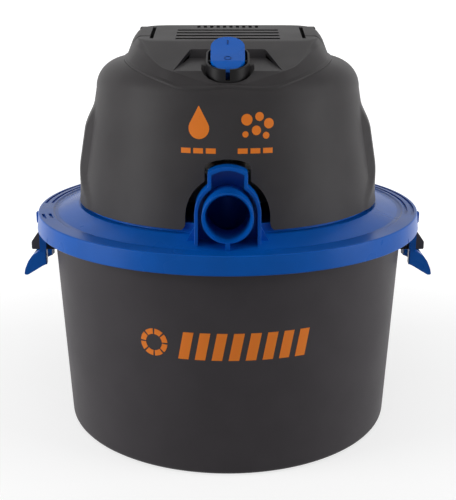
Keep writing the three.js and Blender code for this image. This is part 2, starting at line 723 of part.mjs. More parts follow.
// ---------- Latches ----------
function bandOutline(inner, outer, halfWidth) {
  const outerAngle = Math.asin(halfWidth / outer);
  const innerAngle = Math.asin(halfWidth / inner);
  const shape = new THREE.Shape();
  shape.absarc(0, 0, outer, -outerAngle, outerAngle);
  shape.absarc(0, 0, inner, innerAngle, -innerAngle, true);
  return shape;
}

// Built about the drum's axis on the +X side, then moved so that the pin's axis is the origin.
function latch() {
  const half = LATCH_WIDTH / 2;
  const armFoot = latchPivotZ - LATCH_ARM_LENGTH;
  const strap = prismAlongZ(
    bandOutline(latchOuter - LATCH_THICKNESS, latchOuter, half), armFoot, latchPivotZ);
  const barrel = crossRod("Y", LATCH_BARREL_RADIUS, LATCH_WIDTH, latchPivotX, 0, latchPivotZ, SMALL_FACETS);
  const tipX = latchPivotX + LATCH_TAB_REACH;
  const tipZ = latchPivotZ - LATCH_TAB_DROP;
  const strapX = latchOuter - 1.2;
  const backX = latchOuter - LATCH_THICKNESS - 0.6;
  const outerCurve = [
    [strapX, armFoot + 11],
    [strapX + 4.2, armFoot + 10],
    [strapX + 8.2, armFoot + 3],
    [tipX - 1.4, tipZ + 5],
    [tipX, tipZ],
  ];
  const tab = prismAlongY(polygon([...outerCurve, [backX, armFoot], [strapX, armFoot]]), -half, half);
  const hollow = prismAlongY(
    polygon([
      ...outerCurve.map(([x, z]) => [x - LATCH_TAB_WALL, z + (z === tipZ ? -3 : 0)]),
      [backX - 3, tipZ - 3],
      [backX - 3, armFoot + 11],
    ]),
    -half + LATCH_TAB_WALL,
    half - LATCH_TAB_WALL,
  );
  const windowHalf = LUG_WIDTH / 2 + RUNNING_GAP;
  const channel = block(
    latchOuter - 20, lugTipX + RUNNING_GAP, -windowHalf, windowHalf,
    tipZ - OVERSHOOT, latchPivotZ - LATCH_WINDOW_TOP_DROP);
  const pinHole = crossRod(
    "Y", LATCH_PIN_RADIUS + SEAT_GAP, LATCH_WIDTH + 2 * OVERSHOOT, latchPivotX, 0, latchPivotZ);
  const footTrim = block(0, backX + 0.6, -half - 1, half + 1, 0, armFoot + 0.01);
  const whole = cut(join(strap, barrel, cut(tab, hollow)), channel, pinHole, footTrim);
  return solid(geometryOf(whole).translate(-latchPivotX, 0, -latchPivotZ));
}

const latchPin = () => crossRod("Y", LATCH_PIN_RADIUS, 2 * (earHalfSpan + LATCH_EAR_WIDTH) - 3, 0, 0, 0);

// ---------- Motor housing ----------
// How far the side pods stand out at an angle round from the side and a height.
function podBulge(x, y, z) {
  const fromSide = THREE.MathUtils.radToDeg(Math.atan2(y, Math.abs(x)));
  const low = THREE.MathUtils.smoothstep(z, housingBottom, housingBottom + 38);
  const high = THREE.MathUtils.smoothstep(crownTop - POD_TOP_DROP - z, 0, 16);
  const front = THREE.MathUtils.smoothstep(fromSide, -POD_FRONT_ANGLE - 3, -POD_FRONT_ANGLE + 3);
  const rear = THREE.MathUtils.smoothstep(-fromSide, -POD_REAR_ANGLE - 6, -POD_REAR_ANGLE + 6);
  return POD_BULGE * low * high * front * rear;
}

function withPods(geometry) {
  const place = geometry.getAttribute("position");
  for (let i = 0; i < place.count; i++) {
    const [x, y, z] = [place.getX(i), place.getY(i), place.getZ(i)];
    const radius = Math.hypot(x, y);
    if (radius < 1) continue;
    const grown = 1 + podBulge(x, y, z) / radius;
    place.setXY(i, x * grown, y * grown);
  }
  return geometry;
}

// Radius of the dome at a share of the shoulder's height: a quarter of an ellipse.
function shoulderPoints(inset) {
  return [15, 32, 50, 70].map((angle) => {
    const a = degrees(angle);
    const radius = crownRadius + HOUSING_SHOULDER_WIDTH * Math.cos(a) ** SHOULDER_FULLNESS;
    return [radius - inset, shoulderFoot + HOUSING_SHOULDER * Math.sin(a) - inset];
  });
}

function housingForm(inset, bottom) {
  const climb = shoulderFoot - housingBottom;
  const levels = [0.12, 0.26, 0.4, 0.55, 0.68, 0.85].map((share) => housingBottom + share * climb);
  const outline = [
    [0, bottom],
    [barrelRadiusAt(bottom) - inset, bottom],
    ...levels.map((z) => [barrelRadiusAt(z) - inset, z]),
    [shoulderRadius - inset, shoulderFoot],
    ...shoulderPoints(inset),
    [crownRadius - inset, crownTop - inset],
    [0, crownTop - inset],
  ];
  return solid(withPods(revolve(outline)));
}

function grilleOpening(grow) {
  const bottom = deckTop + GRILLE_RISE;
  return block(
    -GRILLE_HALF_WIDTH - grow, GRILLE_HALF_WIDTH + grow, HOUSING_BASE_RADIUS / 2, HOUSING_BASE_RADIUS + 10,
    bottom - grow, bottom + GRILLE_HEIGHT + grow);
}

function bezelHole(grow, bottom, top) {
  return prismAlongZ(stadium(BEZEL_WIDTH + 2 * grow, BEZEL_LENGTH + 2 * grow, -switchReach), bottom, top);
}

const cutout = () =>
  prismAlongY(
    keyhole(
      FRAME_HALF_WIDTH + CUTOUT_SIDE_GAP, FRAME_NECK_HALF_WIDTH + CUTOUT_NECK_GAP, housingBottom - 10,
      flareLow - 4, flareHigh + 1, frameTop + CUTOUT_NECK_GAP),
    -HOUSING_BASE_RADIUS - 20,
    -HOUSING_BASE_RADIUS / 2,
  );

const glandX = Math.cos(degrees(GLAND_ANGLE));
const glandY = Math.sin(degrees(GLAND_ANGLE));

// Places a shape drawn along +Z so that it points out through the wall at the cord inlet.
function throughWall(geometry, reach) {
  geometry.rotateY(Math.PI / 2).rotateZ(degrees(GLAND_ANGLE));
  return solid(geometry.translate(reach * glandX, reach * glandY, deckTop + GLAND_RISE));
}

function housing() {
  const shell = cut(housingForm(0, housingBottom), housingForm(HOUSING_WALL, housingBottom - OVERSHOOT));
  const bosses = bossAngles.map(bossPlace).map(([x, y]) =>
    standing(BOSS_RADIUS, x, y, deckTop + SEAT_GAP, crownTop - HOUSING_SHOULDER));
  const pilots = bossAngles.map(bossPlace).map(([x, y]) =>
    standing(SCREW_RADIUS + SEAT_GAP, x, y, deckTop - OVERSHOOT, deckTop + 16));
  const webs = bossAngles.map((angle) => {
    const web = new THREE.BoxGeometry(BOSS_WEB_WIDTH, BOSS_WEB_THICKNESS, BOSS_WEB_HEIGHT);
    web.translate(bossCircle + 4, 0, deckTop + 16 + BOSS_WEB_HEIGHT / 2);
    return solid(web.rotateZ(degrees(angle)));
  });
  const inside = housingForm(HOUSING_WALL / 2, housingBottom - OVERSHOOT);
  const ribs = join(bosses[0], ...bosses.slice(1), ...webs).intersect(inside);
  const glandClear = GLAND_RADIUS + SEAT_GAP;
  const glandCutter = new THREE.CylinderGeometry(glandClear, glandClear, 30, PIN_FACETS);
  const glandHole = throughWall(glandCutter.rotateX(Math.PI / 2), HOUSING_BASE_RADIUS - 5);
  return cut(
    join(shell, ribs),
    ...pilots,
    cutout(),
    grilleOpening(0),
    crownOpening(0),
    bezelHole(1, bezelBottom - SWITCH_BODY_DEPTH / 2, crownTop + OVERSHOOT),
    glandHole,
  );
}

function exhaustGrille() {
  const band = cut(housingForm(0, housingBottom), housingForm(HOUSING_WALL, housingBottom - OVERSHOOT));
  const slotBottom = deckTop + GRILLE_RISE + 5;
  const pitch = (2 * GRILLE_HALF_WIDTH - 8) / GRILLE_SLOT_COUNT;
  const slots = Array.from({ length: GRILLE_SLOT_COUNT }, (_, i) => {
    const x = (i - (GRILLE_SLOT_COUNT - 1) / 2) * pitch;
    return block(
      x - GRILLE_SLOT / 2, x + GRILLE_SLOT / 2, HOUSING_BASE_RADIUS / 2, HOUSING_BASE_RADIUS + 10,
      slotBottom, slotBottom + GRILLE_HEIGHT - 10);
  });
  return cut(band.intersect(grilleOpening(-SEAT_GAP)), ...slots);
}

function exhaustDuct() {
  const inner = DUCT_OUTLET_HALF_WIDTH + SEAT_GAP;
  const outer = inner + DUCT_WALL;
  const z0 = fanCaseBottom + SEAT_GAP;
  const z1 = fanCaseTop;
  const front = FAN_CASE_RADIUS + 4;
  const back = barrelRadiusAt(fanCaseBottom) + HOUSING_WALL;
  const tube = cut(
    block(-outer, outer, front, back, z0 - DUCT_WALL, z1 + DUCT_WALL),
    block(-inner, inner, front - 1, back + 1, z0, z1),
  );
  const neck = ring(
    neckRadius - NECK_WALL - SEAT_GAP, neckRadius + 20, z0 - 10, neckTop + SEAT_GAP, LARGE_FACETS);
  return cut(tube.intersect(housingForm(HOUSING_WALL + SEAT_GAP, housingBottom - OVERSHOOT)), neck);
}

function cordGland() {
  const wall = GLAND_REACH_OUTSIDE;
  const outline = [
    [GLAND_BORE, -wall - 6],
    [GLAND_RADIUS, -wall - 6],
    [GLAND_RADIUS, 0],
    [GLAND_RADIUS + GLAND_FLANGE, 0.6],
    [GLAND_RADIUS + GLAND_FLANGE, 3],
    [GLAND_RADIUS, 5],
    [GLAND_BORE, 5],
  ];
  const reach = barrelRadiusAt(deckTop + GLAND_RISE - GLAND_RADIUS - GLAND_FLANGE) + SEAT_GAP;
  return throughWall(revolve(outline, PIN_FACETS), reach);
}

// ---------- Top cover and carry handle ----------
// Height of the housing's outside at a distance from its axis, above the shoulder.
function domeHeight(radius) {
  if (radius <= crownRadius) return crownTop;
  if (radius >= shoulderRadius) return shoulderFoot - (radius - shoulderRadius) / HOUSING_DRAFT;
  const share = (radius - crownRadius) / HOUSING_SHOULDER_WIDTH;
  const angle = Math.acos(share ** (1 / SHOULDER_FULLNESS));
  return shoulderFoot + HOUSING_SHOULDER * Math.sin(angle);
}

function coverBase(inset) {
  const power = 2 / COVER_SQUARENESS;
  return Array.from({ length: 32 }, (_, i) => {
    const angle = (i / 32) * 2 * Math.PI;
    const [c, s] = [Math.cos(angle), Math.sin(angle)];
    const reach = s < 0 ? coverFrontReach : coverRearReach;
    const x = Math.sign(c) * Math.abs(c) ** power * (coverHalfWidth - inset);
    const y = Math.sign(s) * Math.abs(s) ** power * (reach - inset);
    return [x, y, domeHeight(Math.hypot(x, y)) + COVER_EDGE_HEIGHT];
  });
}

// The hole in the housing's crown under the cover.
function crownOpening(grow) {
  const outline = coverBase(COVER_SEAT_WIDTH - grow).map(([x, y]) => [x, y]);
  return prismAlongZ(polygon(outline), crownTop - HOUSING_SHOULDER, crownTop + HOUSING_SHOULDER);
}

// The cover's outside with the folded handle filled in, as one convex form.
function coverForm(inset) {
  const half = coverTopHalfWidth - inset;
  const front = -coverTopFrontReach + inset;
  const rear = coverTopRearReach - inset;
  const zFront = coverTopFront - inset;
  const zRear = coverTopRear - inset;
  const slope = (zRear - zFront) / (rear - front);
  const topAt = (y) => zFront + slope * (y - front);
  const right = [
    [half - 25, front, zFront],
    [half - 11, front + 16, topAt(front + 16) - 1.5],
    [half - 4, front + 32, topAt(front + 32)],
    [half + 2, front + 32, topAt(front + 32) - 5],
    [half - 6, rear, topAt(rear) - 0.8],
    [half, rear - 2, topAt(rear) - 5],
    [half - 13, rear + 10, zRear - 4],
    [half - 23, rear, zRear],
    [coverHalfWidth - 0.5 - inset, 0, crownTop + 1 - inset],
    [coverHalfWidth - 2.6 - inset, -4, crownTop + 4 - inset],
    [coverHalfWidth - 4.7 - inset, -8, crownTop + 8 - inset],
    [COVER_BROW_HALF_WIDTH - inset / 2, -coverBrowReach + 5 + inset, crownTop - COVER_BROW_DROP - inset],
    [COVER_BROW_HALF_WIDTH / 2, -coverBrowReach + 0.8 + inset, crownTop - COVER_BROW_DROP - inset],
  ];
  const left = right.map(([x, y, z]) => [-x, y, z]);
  const base = coverBase(inset);
  const sunk = base.map(([x, y, z]) => [x, y, z - COVER_EDGE_HEIGHT - HOUSING_WALL]);
  const deep = base.map(([x, y]) => [x, y, crownTop - HOUSING_SHOULDER - HOUSING_WALL]);
  return hull([...right, ...left, ...base, ...(inset ? deep : sunk)]);
}

// Space for the folded handle: two side notches and the bar's recess behind.
function handleSpace(grow, inner) {
  const y0 = -HANDLE_PIVOT_REACH;
  const barBack = handleBarReach + HANDLE_BAR_WIDTH;
  const top = coverTopRear + 20;
  const zone = (x0, x1) => block(x0, x1, y0, barBack + 30, ledgeTop - grow, top);
  const length = 40;
  const round = (side) =>
    crossRod("X", HANDLE_END_RADIUS + 2 * SEAT_GAP + grow, length, side * (inner - grow + length / 2),
      y0, handlePivotZ, SMALL_FACETS);
  return join(
    zone(inner - grow, inner - grow + length),
    zone(-inner + grow - length, -inner + grow),
    round(1),
    round(-1),
    block(
      -inner - 1, inner + 1, handleBarReach - HANDLE_GRIP_GAP - grow, barBack + 30, ledgeTop - grow, top),
  );
}

function louvers() {
  const slope = (coverTopRear - coverTopFront) / (coverTopRearReach + coverTopFrontReach);
  const middle = -8;
  return Array.from({ length: LOUVER_COUNT }, (_, i) => {
    const y = middle + (i - (LOUVER_COUNT - 1) / 2) * LOUVER_PITCH;
    const z = coverTopFront + slope * (y + coverTopFrontReach);
    return block(
      -louverHalfLength, louverHalfLength, y - LOUVER_WIDTH / 2, y + LOUVER_WIDTH / 2, z - 8, z + 5);
  });
}

const handlePinHoles = (side) =>
  crossRod(
    "X", HANDLE_PIN_RADIUS + SEAT_GAP, handlePinLength + 2 * SEAT_GAP,
    side * (handleArmInner + HANDLE_PIN_GRIP - handlePinLength / 2), -HANDLE_PIVOT_REACH, handlePivotZ);

// Shallow dished floor round the switch, a trapezoid seen from above.
function switchRecess(grow) {
  const y1 = -coverTopFrontReach;
  const y0 = -coverBrowReach;
  const z0 = crownTop - COVER_BROW_DROP - grow;
  const z1 = coverTopFront - RECESS_DEPTH - grow;
  const side = polygon([[y0, z0], [y1, z1], [y1, z1 + 30], [y0 - 12, z1 + 30], [y0 - 12, z0]]);
  const prism = prismAlongX(side, 4 * switchReach);
  const half = COVER_BROW_HALF_WIDTH;
  const plan = polygon([[-half - 9, y0 - 20], [half + 9, y0 - 20], [half - 11, y1 + 1], [11 - half, y1 + 1]]);
  return prism.intersect(prismAlongZ(plan, crownTop - 40, crownTop + 40));
}

function topCover() {
  const inner = handleArmInner - HANDLE_SLOT;
  const outside = cut(coverForm(0), handleSpace(0, inner), switchRecess(0));
  const inside = cut(coverForm(COVER_WALL), handleSpace(COVER_WALL, inner), switchRecess(COVER_WALL));
  const underneath = cut(housingForm(-SEAT_GAP, housingBottom), crownOpening(-SEAT_GAP));
  return cut(
    outside,
    inside,
    underneath,
    ...louvers(),
    bezelHole(SEAT_GAP, crownTop - 40, crownTop + 60),
    handlePinHoles(1),
    handlePinHoles(-1),
  );
}

// Drawn folded, then moved so that the pivot is the origin.
function carryHandle() {
  const y0 = -HANDLE_PIVOT_REACH;
  const bottom = ledgeTop + SEAT_GAP;
  const back = handleBarReach + HANDLE_BAR_WIDTH;
  const outer = coverTopHalfWidth + 2;
  const arm = (side) => {
    const [x0, x1] = side > 0 ? [handleArmInner, outer + 10] : [-outer - 10, -handleArmInner];
    const end = crossRod("X", HANDLE_END_RADIUS, x1 - x0, (x0 + x1) / 2, y0, handlePivotZ, SMALL_FACETS);
    const length = block(x0, x1, y0, coverTopRearReach + 12, bottom, coverTopRear + 10);
    const flush = join(end, length).intersect(coverForm(0));
    const [r0, r1] = side > 0 ? [handleArmInner, outer - 3] : [-outer + 3, -handleArmInner];
    const rear = prismAlongX(
      polygon([
        [coverTopRearReach - 4, bottom],
        [back, bottom],
        [back, bottom + HANDLE_BAR_HEIGHT - 3],
        [back - 3, bottom + HANDLE_BAR_HEIGHT],
        [coverTopRearReach + 8, bottom + HANDLE_BAR_HEIGHT + 3],
        [coverTopRearReach - 4, coverTopRear - 7],
      ]),
      r1 - r0,
      (r0 + r1) / 2,
    );
    return join(flush, rear);
  };
  const y = handleBarReach;
  const bar = prismAlongX(
    polygon([
      [y, bottom + 2],
      [y + 2, bottom],
      [y + HANDLE_BAR_WIDTH - 2, bottom],
      [y + HANDLE_BAR_WIDTH, bottom + 2],
      [y + HANDLE_BAR_WIDTH, bottom + HANDLE_BAR_HEIGHT - 3],
      [y + HANDLE_BAR_WIDTH - 3, bottom + HANDLE_BAR_HEIGHT],
      [y + 3, bottom + HANDLE_BAR_HEIGHT],
      [y, bottom + HANDLE_BAR_HEIGHT - 3],
    ]),
    2 * handleArmInner + 10,
  );
  const whole = cut(join(arm(1), arm(-1), bar), handlePinHoles(1), handlePinHoles(-1));
  return solid(geometryOf(whole).translate(0, -y0, -handlePivotZ));
}

const HANDLE_PIN_GRIP = 12; // how far each pin runs into its arm
const handlePinLength = COVER_WALL + HANDLE_SLOT + HANDLE_PIN_GRIP;
const handlePin = () => crossRod("X", HANDLE_PIN_RADIUS, handlePinLength, 0, 0, 0);

// ---------- Switch ----------
const bezelRise = Math.tan((BEZEL_SLOPE * Math.PI) / 180);
const bezelBottom = bezelTop - BEZEL_DEPTH;

function switchBezel() {
  const top = bezelTop + (BEZEL_LENGTH / 2) * bezelRise + 1;
  const outer = prismAlongZ(stadium(BEZEL_WIDTH, BEZEL_LENGTH, -switchReach), bezelBottom, top);
  const inner = prismAlongZ(
    stadium(BEZEL_WIDTH - 2 * BEZEL_WALL, BEZEL_LENGTH - 2 * BEZEL_WALL, -switchReach),
    bezelBottom - OVERSHOOT, top + OVERSHOOT);
  const run = BEZEL_LENGTH / 2 + OVERSHOOT;
  const slant = prismAlongX(
    polygon([
      [-switchReach - run, bezelTop - run * bezelRise],
      [-switchReach + run, bezelTop + run * bezelRise],
      [-switchReach + run, top + 30],
      [-switchReach - run, top + 30],
    ]),
    2 * BEZEL_WIDTH,
  );
  const bezelFront = -switchReach - BEZEL_LENGTH / 2;
  const slit = block(
    -BEZEL_SLIT / 2, BEZEL_SLIT / 2, bezelFront - 1, bezelFront + 3, bezelBottom + 3, top + OVERSHOOT);
  const pinHole = crossRod(
    "X", ROCKER_PIN_RADIUS + SEAT_GAP / 2, 2 * BEZEL_WIDTH, 0, rockerPivotY, rockerPivotZ);
  return cut(outer, inner, slant, slit, pinHole);
}

const rockerPivotY = -switchReach + SEAT_GAP;
const rockerPivotZ = bezelTop - ROCKER_PIVOT_DROP;

// Drawn about its pivot with its face level, then tilted to the off position.
function rocker() {
  const half = ROCKER_LENGTH / 2;
  const reach = Math.hypot(half, ROCKER_DEPTH);
  const start = Math.atan2(ROCKER_DEPTH, half);
  const shape = new THREE.Shape();
  shape.moveTo(reach * Math.cos(start - 0.55), reach * Math.sin(start - 0.55));
  shape.absarc(0, 0, reach, start - 0.55, start);
  shape.lineTo(half * 0.45, ROCKER_DEPTH - 0.6);
  shape.lineTo(-half * 0.45, ROCKER_DEPTH - 0.6);
  shape.absarc(0, 0, reach, Math.PI - start, Math.PI - start + 0.55);
  shape.lineTo(0, -6);
  const side = prismAlongX(shape, ROCKER_WIDTH);
  const plan = prismAlongZ(stadium(ROCKER_WIDTH, 2 * reach - 0.4, 0), -20, 20);
  const leg = block(-3, 3, -2.5, 2.5, -11, 0);
  const pinHole = crossRod("X", ROCKER_PIN_RADIUS + SEAT_GAP / 2, 2 * ROCKER_WIDTH, 0, 0, 0);
  const level = cut(join(side.intersect(plan), leg), pinHole);
  return solid(geometryOf(level).rotateX(degrees(BEZEL_SLOPE + ROCKER_TILT)));
}

const rockerPin = () => crossRod("X", ROCKER_PIN_RADIUS, BEZEL_WIDTH - 0.4, 0, 0, 0);

function switchBody() {
  const top = bezelBottom - SEAT_GAP;
  const half = BEZEL_WIDTH / 2 - 2;
  const [y0, y1] = [-switchReach - SWITCH_BODY_LENGTH / 2, -switchReach + SWITCH_BODY_LENGTH / 2];
  const box = block(-half, half, y0, y1, top - SWITCH_BODY_DEPTH, top);
  const rim = prismAlongZ(stadium(BEZEL_WIDTH, BEZEL_LENGTH, -switchReach), top - 2, top);
  const well = block(-5, 5, -switchReach - 8, -switchReach + 8, top - 9, top + 1);
  const foot = top - SWITCH_BODY_DEPTH;
  const tabs = [-7, 7].map((x) =>
    block(x - 3, x + 3, -switchReach - 0.4, -switchReach + 0.4, foot - 8, foot + 1));
  return cut(join(box, rim, ...tabs), well);
}

// ---------- Motor and fan ----------
const motorGasket = () =>
  ring(
    SUCTION_HOLE_RADIUS + 2, SUCTION_HOLE_RADIUS + 2 + MOTOR_GASKET_WIDTH,
    gasketLevel, gasketLevel + MOTOR_GASKET_HEIGHT);

function fanCase() {
  const bowl = turned(
    [
      [SUCTION_HOLE_RADIUS, fanCaseBottom],
      [FAN_CASE_RADIUS, fanCaseBottom],
      [FAN_CASE_RADIUS, fanCaseTop],
      [FAN_CASE_RADIUS - FAN_CASE_WALL, fanCaseTop],
      [FAN_CASE_RADIUS - FAN_CASE_WALL, fanCaseBottom + FAN_CASE_WALL],
      [SUCTION_HOLE_RADIUS, fanCaseBottom + FAN_CASE_WALL],
    ],
    FAN_FACETS,
  );
  const w = DUCT_OUTLET_HALF_WIDTH;
  const z0 = fanCaseBottom + 2 * SEAT_GAP;
  const z1 = fanCaseTop - SEAT_GAP;
  const spout = block(-w, w, FAN_CASE_RADIUS - 6, FAN_CASE_RADIUS + 12, z0, z1);
  const bore = block(
    -w + DUCT_WALL, w - DUCT_WALL, FAN_CASE_RADIUS - 12, FAN_CASE_RADIUS + 20,
    z0 + DUCT_WALL, z1 - DUCT_WALL);
  const feet = motorFootAngles.map((angle) => {
    const [x, y] = motorFootPlace(angle);
    return standing(SCREW_HEAD_RADIUS + 1.6, x, y, deckTop + SEAT_GAP, fanCaseBottom + 12);
  });
  const keepClear = rod(
    FAN_CASE_RADIUS - FAN_CASE_WALL, fanCaseBottom + FAN_CASE_WALL, fanCaseTop + 1, FAN_FACETS);
  const pilots = motorFootAngles.map((angle) => {
    const [x, y] = motorFootPlace(angle);
    return standing(SCREW_RADIUS + SEAT_GAP, x, y, deckTop - 1, fanCaseBottom + 9);
  });
  return cut(join(bowl, cut(join(spout, ...feet), keepClear)), bore, ...pilots);
}

function fanCover() {
  const seat = BEARING_RADIUS + SEAT_GAP;
  const hubTop = lowerBearing + BEARING_HEIGHT;
  const plate = turned([
    [SHAFT_RADIUS + RUNNING_GAP, fanCoverBottom],
    [FAN_CASE_RADIUS, fanCoverBottom],
    [FAN_CASE_RADIUS, fanCoverTop],
    [seat + BEARING_SEAT_WALL, fanCoverTop],
    [seat + BEARING_SEAT_WALL, hubTop],
    [seat, hubTop],
    [seat, fanCoverTop],
    [SHAFT_RADIUS + RUNNING_GAP, fanCoverTop],
  ], FAN_FACETS);
  return join(plate, ...postPlaces.map(([x, y]) =>
    standing(MOTOR_POST_RADIUS, x, y, fanCoverTop - 1, stackBottom - SEAT_GAP)));
}

const postPlaces = [[1, 1], [-1, 1], [-1, -1], [1, -1]].map(([a, b]) => [
  a * (STACK_WIDTH / 2 - MOTOR_POST_RADIUS - 2),
  b * (STACK_DEPTH / 2 - MOTOR_POST_RADIUS - 2),
]);

const bearing = (bottom) =>
  turned([
    [SHAFT_RADIUS + SEAT_GAP, bottom],
    [BEARING_RADIUS, bottom],
    [BEARING_RADIUS, bottom + BEARING_HEIGHT],
    [SHAFT_RADIUS + SEAT_GAP, bottom + BEARING_HEIGHT],
  ]);

function impeller() {
  const top = impellerBottom + IMPELLER_HEIGHT;
  const eye = SUCTION_HOLE_RADIUS - 3;
  const lower = ring(eye, impellerRadius, impellerBottom, impellerBottom + IMPELLER_PLATE, FAN_FACETS);
  const upper = ring(SHAFT_RADIUS + SEAT_GAP, impellerRadius, top - IMPELLER_PLATE, top, FAN_FACETS);
  const hub = ring(SHAFT_RADIUS + SEAT_GAP, 9, impellerBottom + 2, top, SMALL_FACETS);
  const blades = Array.from({ length: IMPELLER_BLADES }, (_, i) => {
    const blade = new THREE.BoxGeometry(impellerRadius - eye - 1, 1.6, IMPELLER_HEIGHT - 0.8);
    blade.rotateZ(0.5).translate((impellerRadius + eye) / 2 - 1, 0, (impellerBottom + top) / 2);
    return solid(blade.rotateZ((i * 2 * Math.PI) / IMPELLER_BLADES));
  });
  return join(upper, hub, lower, ...blades).intersect(rod(impellerRadius, impellerBottom, top, FAN_FACETS));
}

function fanNut() {
  const top = impellerBottom + 2 - SEAT_GAP;
  return cut(rod(7.5, top - 4, top, 6), rod(SHAFT_RADIUS + SEAT_GAP, top - 5, top + 1));
}

const shaft = () => rod(SHAFT_RADIUS, impellerBottom - 3, shaftTop);

const boreRadius = ARMATURE_RADIUS + RUNNING_GAP;
const coilInner = boreRadius + 2;

function statorCore() {
  const outline = polygon([
    [STACK_WIDTH / 2, -STACK_DEPTH / 2 + 8], [STACK_WIDTH / 2, STACK_DEPTH / 2 - 8],
    [STACK_WIDTH / 2 - 8, STACK_DEPTH / 2], [-STACK_WIDTH / 2 + 8, STACK_DEPTH / 2],
    [-STACK_WIDTH / 2, STACK_DEPTH / 2 - 8], [-STACK_WIDTH / 2, -STACK_DEPTH / 2 + 8],
    [-STACK_WIDTH / 2 + 8, -STACK_DEPTH / 2], [STACK_WIDTH / 2 - 8, -STACK_DEPTH / 2],
  ]);
  const windows = [-1, 1].flatMap((sx) =>
    [-1, 1].map((sy) => {
      const xs = [sx * (coilInner - SEAT_GAP), sx * (coilInner + COIL_THICKNESS + SEAT_GAP)];
      const ys = [sy * (COIL_HALF_WIDTH - COIL_BAND - SEAT_GAP), sy * (COIL_HALF_WIDTH + SEAT_GAP)];
      return block(
        Math.min(...xs), Math.max(...xs), Math.min(...ys), Math.max(...ys), stackBottom - 1, stackTop + 1);
    }));
  const bore = rod(boreRadius, stackBottom - 1, stackTop + 1);
  return cut(prismAlongZ(outline, stackBottom, stackTop), bore, ...windows);
}

function fieldCoil() {
  const low = stackBottom - SEAT_GAP - WINDING_OVERHANG;
  const high = stackTop + SEAT_GAP + WINDING_OVERHANG;
  const outer = block(
    coilInner, coilInner + COIL_THICKNESS, -COIL_HALF_WIDTH, COIL_HALF_WIDTH, low, high);
  const hole = block(
    coilInner - 1, coilInner + COIL_THICKNESS + 1, -COIL_HALF_WIDTH + COIL_BAND, COIL_HALF_WIDTH - COIL_BAND,
    stackBottom - SEAT_GAP, stackTop + SEAT_GAP);
  return cut(outer, hole);
}

const armatureSlots = () =>
  Array.from({ length: 12 }, (_, i) => {
    const slot = new THREE.BoxGeometry(8, 3, STACK_HEIGHT + 2);
    slot.translate(ARMATURE_RADIUS - 5.5, 0, (stackBottom + stackTop) / 2);
    return slot.rotateZ(((i + 0.5) * Math.PI) / 6);
  });

const armatureCore = () =>
  cut(ring(SHAFT_RADIUS + SEAT_GAP, ARMATURE_RADIUS, stackBottom, stackTop), ...armatureSlots().map(solid));

function armatureWindings() {
  const bulge = (z0, z1) => ring(SHAFT_RADIUS + 2, ARMATURE_RADIUS - 3, z0, z1);
  const bars = Array.from({ length: 12 }, (_, i) => {
    const bar = new THREE.BoxGeometry(7, 2.4, STACK_HEIGHT + 4);
    bar.translate(ARMATURE_RADIUS - 5.7, 0, (stackBottom + stackTop) / 2);
    return solid(bar.rotateZ(((i + 0.5) * Math.PI) / 6));
  });
  const low = stackBottom - SEAT_GAP;
  return join(bulge(low - WINDING_OVERHANG + 1, low), bulge(stackTop + SEAT_GAP, windingTop), ...bars);
}

function commutator() {
  const body = ring(SHAFT_RADIUS + SEAT_GAP, COMMUTATOR_RADIUS, commutatorBottom, commutatorTop, 24);
  const grooves = Array.from({ length: 12 }, (_, i) => {
    const groove = new THREE.BoxGeometry(3, 0.7, COMMUTATOR_HEIGHT + 2);
    groove.translate(COMMUTATOR_RADIUS, 0, (commutatorBottom + commutatorTop) / 2);
    return solid(groove.rotateZ((i * Math.PI) / 6));
  });
  return cut(body, ...grooves);
}

function coolingFan() {
  const top = coolingFanBottom + COOLING_FAN_HEIGHT;
  const disc = ring(SHAFT_RADIUS + SEAT_GAP, COOLING_FAN_RADIUS, coolingFanBottom, coolingFanBottom + 1.4);
  const hub = ring(SHAFT_RADIUS + SEAT_GAP, 8, coolingFanBottom, top);
  const blades = Array.from({ length: COOLING_FAN_BLADES }, (_, i) => {
    const blade = new THREE.BoxGeometry(COOLING_FAN_RADIUS - 9, 1.4, COOLING_FAN_HEIGHT);
    blade.rotateZ(0.35).translate((COOLING_FAN_RADIUS + 7) / 2, 0, (coolingFanBottom + top) / 2);
    return solid(blade.rotateZ((i * 2 * Math.PI) / COOLING_FAN_BLADES));
  });
  return join(disc, hub, ...blades).intersect(rod(COOLING_FAN_RADIUS, coolingFanBottom, top));
}

// Brushes bear on the commutator from front and rear, each in a tube hung from the upper bracket.
function carbonBrush(side) {
  const y0 = COMMUTATOR_RADIUS + SEAT_GAP;
  const [a, b] = side > 0 ? [y0, y0 + BRUSH_LENGTH] : [-y0 - BRUSH_LENGTH, -y0];
  return block(
    -BRUSH_WIDTH / 2, BRUSH_WIDTH / 2, a, b, brushLevel - BRUSH_WIDTH / 2, brushLevel + BRUSH_WIDTH / 2);
}

function brushHolder(side) {
  const inner = BRUSH_WIDTH / 2 + SEAT_GAP;
  const outer = inner + BRUSH_TUBE_WALL;
  const y0 = COMMUTATOR_RADIUS + 2;
  const y1 = y0 + BRUSH_LENGTH + 6;
  const [a, b] = side > 0 ? [y0, y1] : [-y1, -y0];
  const tube = block(-outer, outer, a, b, brushLevel - outer, bracketBottom - SEAT_GAP);
  const [from, to] = side > 0 ? [a - 1, b - 2] : [a + 2, b + 1];
  const bore = block(-inner, inner, from, to, brushLevel - inner, brushLevel + inner);
  return cut(tube, bore);
}

